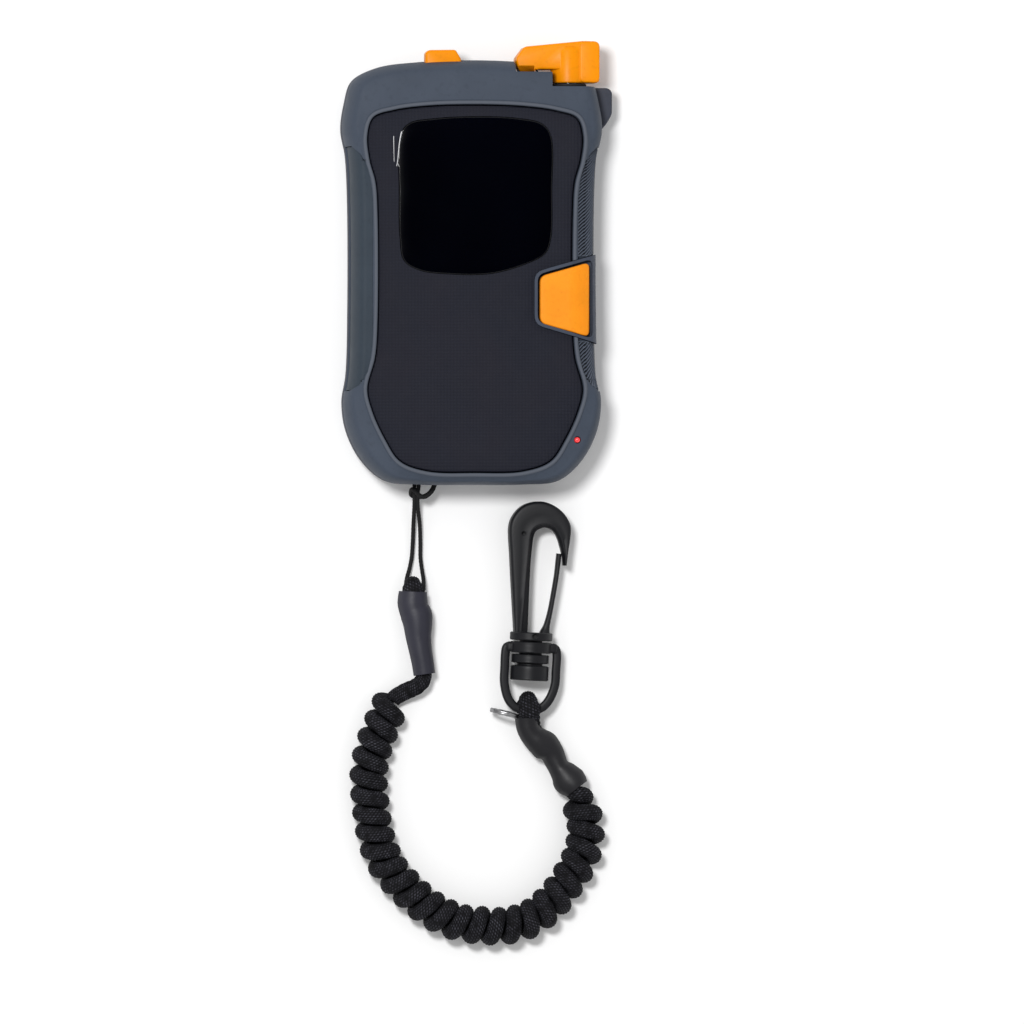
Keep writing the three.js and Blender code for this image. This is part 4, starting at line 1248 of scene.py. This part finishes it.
def on_lever_axis(points):
    return points[:, [0, 2, 1]] + np.array([LEVER_X, 0, LEVER_Z])


def make_lever_seal():
    profile = [
        (SHAFT_ROOM, 50.15), (4.6, 50.15), (4.8, 50.3), (4.8, 50.75), (4.6, 50.9), (SHAFT_ROOM, 50.9),
    ]
    seal = loft("seal", [on_lever_axis(at_height(circle(r, 48), z)) for r, z in profile], joined=True)
    finish_piece(seal, "lever_gasket", "case", "seal", "lever_seal")


def make_option_button():
    low, high = OPTION_X
    outline = [
        (low, 51.8), (low, 59.0), (low + 0.9, 59.8), (high - 1.5, 59.9), (high, 57.4), (high, 51.8),
    ]
    head = slab("head", finer(rounded(outline, 0.5), 0.4), 12.2, 17.8, 0.8)
    flange = slab("flange", rounded(oblong((low - 1, high + 1), (51.5, 52.9)), 0.3), 11.6, 17.6, 0.1)
    join(head, flange)
    finish_piece(head, "option_key", "option_button", "lever", "option_button")


def button_surface(x, y):
    """The top of the side button, which follows the case down at its outer end."""
    return 24.0 - 0.0575 * np.clip(x - 25, 0, None) ** 2


def make_side_button():
    outline = finer(rounded(BUTTON_CORNERS, 1.7), 0.5)
    cap = pillow("cap", outline, 20.6, button_surface, 0.45)
    stem = block((22.4, 27.4), (-10, -5.2), (19.2, 21))
    join(cap, stem)
    finish_piece(cap, "side_key", "side_button", "button", "side_button")


def make_button_frame():
    bezel = prism("bezel", frame_outline, BUTTON_WELL_LOW + 0.5, ABOVE)
    trim(bezel, case_form(0.2))
    cut(bezel, case_form(-4.6))
    well = finer(rounded(WELL_CORNERS, 1.9), 0.6)
    cut(bezel, prism("well", well, 19.7, ABOVE), block((21.9, 27.9), (-10.5, -4.7), (BELOW, ABOVE)))
    finish_piece(bezel, "side_key_bezel", "case", "frame", "side_button_frame", look="bezel")


def make_status_led():
    profile = [(0, 18), (0.72, 18), (0.72, 22.55), (0.6, 22.85), (0.35, 23.0), (0, 23.05)]
    lens = turned("lens", profile, upright(*LED), sides=24)
    finish_piece(lens, "led_lens", "case", "led", "status_led")


make_lever()
make_lever_seal()
make_option_button()
make_side_button()
make_button_frame()
make_status_led()

# ---------------------------------------------------------------------------
# Back: door, latch, screws and cells


def make_door():
    plate = slab("plate", rounded(DOOR, 1.0), 0, 1.7, 0.25)
    join(plate, rod("x", (DOOR_HINGE, 0.95), (-19.9, 19.9), 0.75, 24))
    cut(plate, rod("z", (0, LATCH_Y), (BELOW, 1), 5.5, 64), rod("z", (0, LATCH_Y), (BELOW, 9), 2.3))
    for i in range(7):
        half, y = 9 - 0.8 * abs(i - 3), -42 + 1.9 * i
        groove = oblong((-half, half), (y - 0.4, y + 0.4))
        cut(plate, prism("groove", rounded(groove, 0.35), BELOW, 0.35))
    finish_piece(plate, "door_plate", "door", "shell", "battery_door")


def make_latch():
    profile = [(0, 0.05), (4.9, 0.05), (5.2, 0.3), (5.2, 0.95), (2, 0.95), (2, 4.1), (1.8, 4.3), (0, 4.3)]
    disc = turned("disc", profile, upright(0, LATCH_Y), sides=64)
    coin = rounded(oblong((-3.9, 3.9), (LATCH_Y - 0.75, LATCH_Y + 0.75)), 0.6)
    cut(disc, prism("coin_slot", coin, BELOW, 0.55))
    finish_piece(disc, "coin_latch", "latch", "dark_plastic", "door_latch")


def make_screws():
    profile = [(0, 0.55), (1.7, 0.5), (2.2, 0.75), (2.4, 1.2), (2.4, 2.4), (1.2, 2.5)]
    profile += [(1.2 + 0.12 * (i % 2), 2.9 + 0.4 * i) for i in range(34)] + [(0.9, 17), (0, 17.2)]
    for i, (x, y) in enumerate(SCREWS):
        screw = turned("screw", profile, upright(x, y), sides=32)
        for half_x, half_y in ((1.5, 0.32), (0.32, 1.5)):
            cut(screw, block((x - half_x, x + half_x), (y - half_y, y + half_y), (BELOW, 1.35)))
        finish_piece(screw, f"screw_{i + 1}", "case", "steel", f"case_screw_{i + 1}")


def make_cells():
    half = CELL_LENGTH / 2
    profile = [(0, -half), (4.2, -half), (4.75, -half + 0.15), (5.0, -half + 0.5), (5.0, -half + 0.9),
               (5.15, -half + 1.1), (5.15, half - 2.2), (4.9, half - 1.7), (4.55, half - 1.45),
               (2.4, half - 1.35), (1.9, half - 1.2), (1.9, half - 0.2), (1.7, half), (0, half)]
    for i in range(3):
        flip = i == 1
        low = CELL_LOW_FLIPPED if flip else CELL_LOW
        x, middle, way = (i - 1) * CELL_PITCH, low + half, -1 if flip else 1
        place = lambda points: points[:, [0, 2, 1]] * [1, way, 1] + np.array([x, middle, CELL_Z])
        can = turned("can", profile, place, sides=48)
        finish_piece(can, f"cell_{i + 1}", "case", "cell", f"battery_{i + 1}")
        turn = np.linspace(0, 3.5 * FULL_TURN, 140)
        reach = np.interp(turn, (0, turn[-1]), (3.3, 1.5))
        along = np.interp(turn, (0, turn[-1]), (-half - 3.1, -half - 0.45))
        wire = place(np.stack([reach * np.cos(turn), reach * np.sin(turn), along], axis=1))
        size = np.full(len(wire), 0.22)
        spring = tube("spring", wire, carried_hints(wire), size, size, sides=10)
        finish_piece(spring, f"spring_{i + 1}", "case", "steel", f"contact_spring_{i + 1}")


make_door()
make_latch()
make_screws()
make_cells()

# ---------------------------------------------------------------------------
# Yoke, swivel and snap hook, drawn along their own axis


def on_hook_line(points):
    """Turns (across, along, height) points into place from the middle of the yoke's bar."""
    points = np.asarray(points, float)
    c, s = math.cos(HOOK_TURN), math.sin(HOOK_TURN)
    x, y = points[:, 0] * c - points[:, 1] * s, points[:, 0] * s + points[:, 1] * c
    return np.column_stack([x, y, points[:, 2]]) + YOKE


def on_swivel(points):
    return on_hook_line(beside_swivel(points))


def place_object(obj, place):
    """Moves an object's points, which are still in its own frame."""
    flat = np.empty(len(obj.data.vertices) * 3)
    obj.data.vertices.foreach_get("co", flat)
    moved = place(flat.reshape(-1, 3) / MM) * MM
    obj.data.vertices.foreach_set("co", moved.ravel())
    obj.data.update()
    return obj


def boxy(i, angle):
    """A cross section between a circle and a square."""
    return 1 / (np.abs(np.cos(angle)) ** 4 + np.abs(np.sin(angle)) ** 4) ** (1 / 4)


def make_yoke():
    path = evenly(np.column_stack([flowing(YOKE_LINE, 8), np.zeros(8 * (len(YOKE_LINE) - 1) + 1)]), 0.4)
    half = np.full(len(path), 1.18)
    bow = tube("bow", path, level_across(path), half, half, boxy, sides=32)
    bar = slab("bar", finer(rounded(oblong((-6.9, 6.9), (15.6, 18.2)), 0.8), 0.4), -2.2, 2.2, 0.7)
    profile = [(0, 15.4), (5.4, 15.4), (5.65, 15.65)] + grooves(5.65, 15.9, 17.8)
    boss = turned("boss", profile + [(5.65, 18.1), (5.4, 18.4), (0, 18.4)], beside_swivel, sides=64)
    join(bow, bar, boss)
    cut(bow, rod("y", (SWIVEL_X, 0), (14, 20), 3.3))
    place_object(bow, on_hook_line)
    finish_piece(bow, "yoke", "yoke", "hook", "swivel_yoke")


def beside_swivel(points):
    """Stands a turned piece on the swivel's axis, in the hook's own frame."""
    return points[:, [0, 2, 1]] + np.array([SWIVEL_X, 0, 0])


def grooves(radius, low, high, pitch=0.42, depth=0.05):
    """Fine lines left by the mould round a turned piece."""
    count = int((high - low) / pitch)
    marks = []
    for i in range(count):
        z = low + i * pitch
        marks += [(radius, z), (radius - depth, z + pitch * 0.5)]
    return marks + [(radius, high)]


def make_swivel_cap():
    profile = [(0, 7.95), (4.9, 7.95), (5.2, 8.2)] + grooves(5.2, 8.4, 11.5) + [
        (5.1, 11.8), (4.8, 11.95), (3.5, 12.0), (3.5, 12.55), (4.8, 12.6), (5.1, 12.8),
    ] + grooves(5.1, 13.0, 14.6) + [(5.1, 14.75), (4.9, 14.95), (3.1, 14.95), (3.1, 20.2), (0, 20.2)]
    cap = turned("cap", profile, on_swivel, sides=64)
    finish_piece(cap, "swivel_post", "hook", "hook", "swivel_cap")


def make_hook():
    """The open hook: for each station an outer, a ridge and an inner point, from root to tip."""
    outer, ridge, inner = (flowing([row[k] for row in HOOK_STATIONS], 12) for k in range(3))
    rings = []
    for o, r, i in zip(outer, ridge, inner):
        width = np.linalg.norm(r - o)
        inward = (r - o) / max(width, 1e-6)
        edge = min(1.0, width * 0.3)
        section = []
        for t in np.linspace(0, QUARTER_TURN, 5):
            section.append((*(o + inward * edge * (1 - math.cos(t))), HOOK_HALF - 0.9 * (1 - math.sin(t))))
        for share, drop in ((0.6, 0.03), (0.88, 0.14), (0.97, 0)):
            section.append((*(o + (r - o) * share), HOOK_HALF - drop))
        for share, drop in ((0.16, 0.02), (0.24, 0.4), (0.8, 1.0), (0.95, 1.25), (1, 1.7)):
            section.append((*(r + (i - r) * share), HOOK_HALF - drop))
        section += [(x, y, -z) for x, y, z in section[::-1]]
        rings.append(np.array(section))
    body = loft("body", rings)
    profile = [(0, 18.75), (5.5, 18.75), (5.75, 19.0), (5.75, 20.7), (5.5, 20.95), (0, 20.95)]
    collar = turned("collar", profile, beside_swivel, sides=64)
    join(body, collar)
    dents = [rod("z", (0.35, 19.9), (4.6, 9), 0.75, 24), rod("z", (-3.9, 47.6), (1.6, 9), 0.52, 24)]
    cut(body, *dents, rod("y", (SWIVEL_X, 0), (0, 20.3), 3.2))
    place_object(body, on_hook_line)
    finish_piece(body, "open_hook", "hook", "hook", "snap_hook")


def make_gate():
    data = evenly(flowing([(u, v, 0, half) for u, v, half in GATE_STATIONS], 8), 0.5)
    path = data[:, :3]
    thick = np.interp(lengths_along(path), (0, 1.5, 20), (2.3, 1.8, 1.7))
    gate = tube("gate", path, level_across(path), data[:, 3], thick, boxy, sides=28)
    place_object(gate, on_hook_line)
    finish_piece(gate, "spring_gate", "gate", "hook", "hook_gate")


make_yoke()
make_swivel_cap()
make_hook()
make_gate()

# ---------------------------------------------------------------------------
# Pieces whose CAD shape is kept


def dress_kept_pieces():
    """Gives every piece that nothing replaced the look of its material slot."""
    for row in frame["record"]["subparts"]:
        node = frame["nodes"][row["node"]]
        if not node.hide_render:
            node.data.materials.clear()
            node.data.materials.append(looks[row["material_slot"]])


dress_kept_pieces()
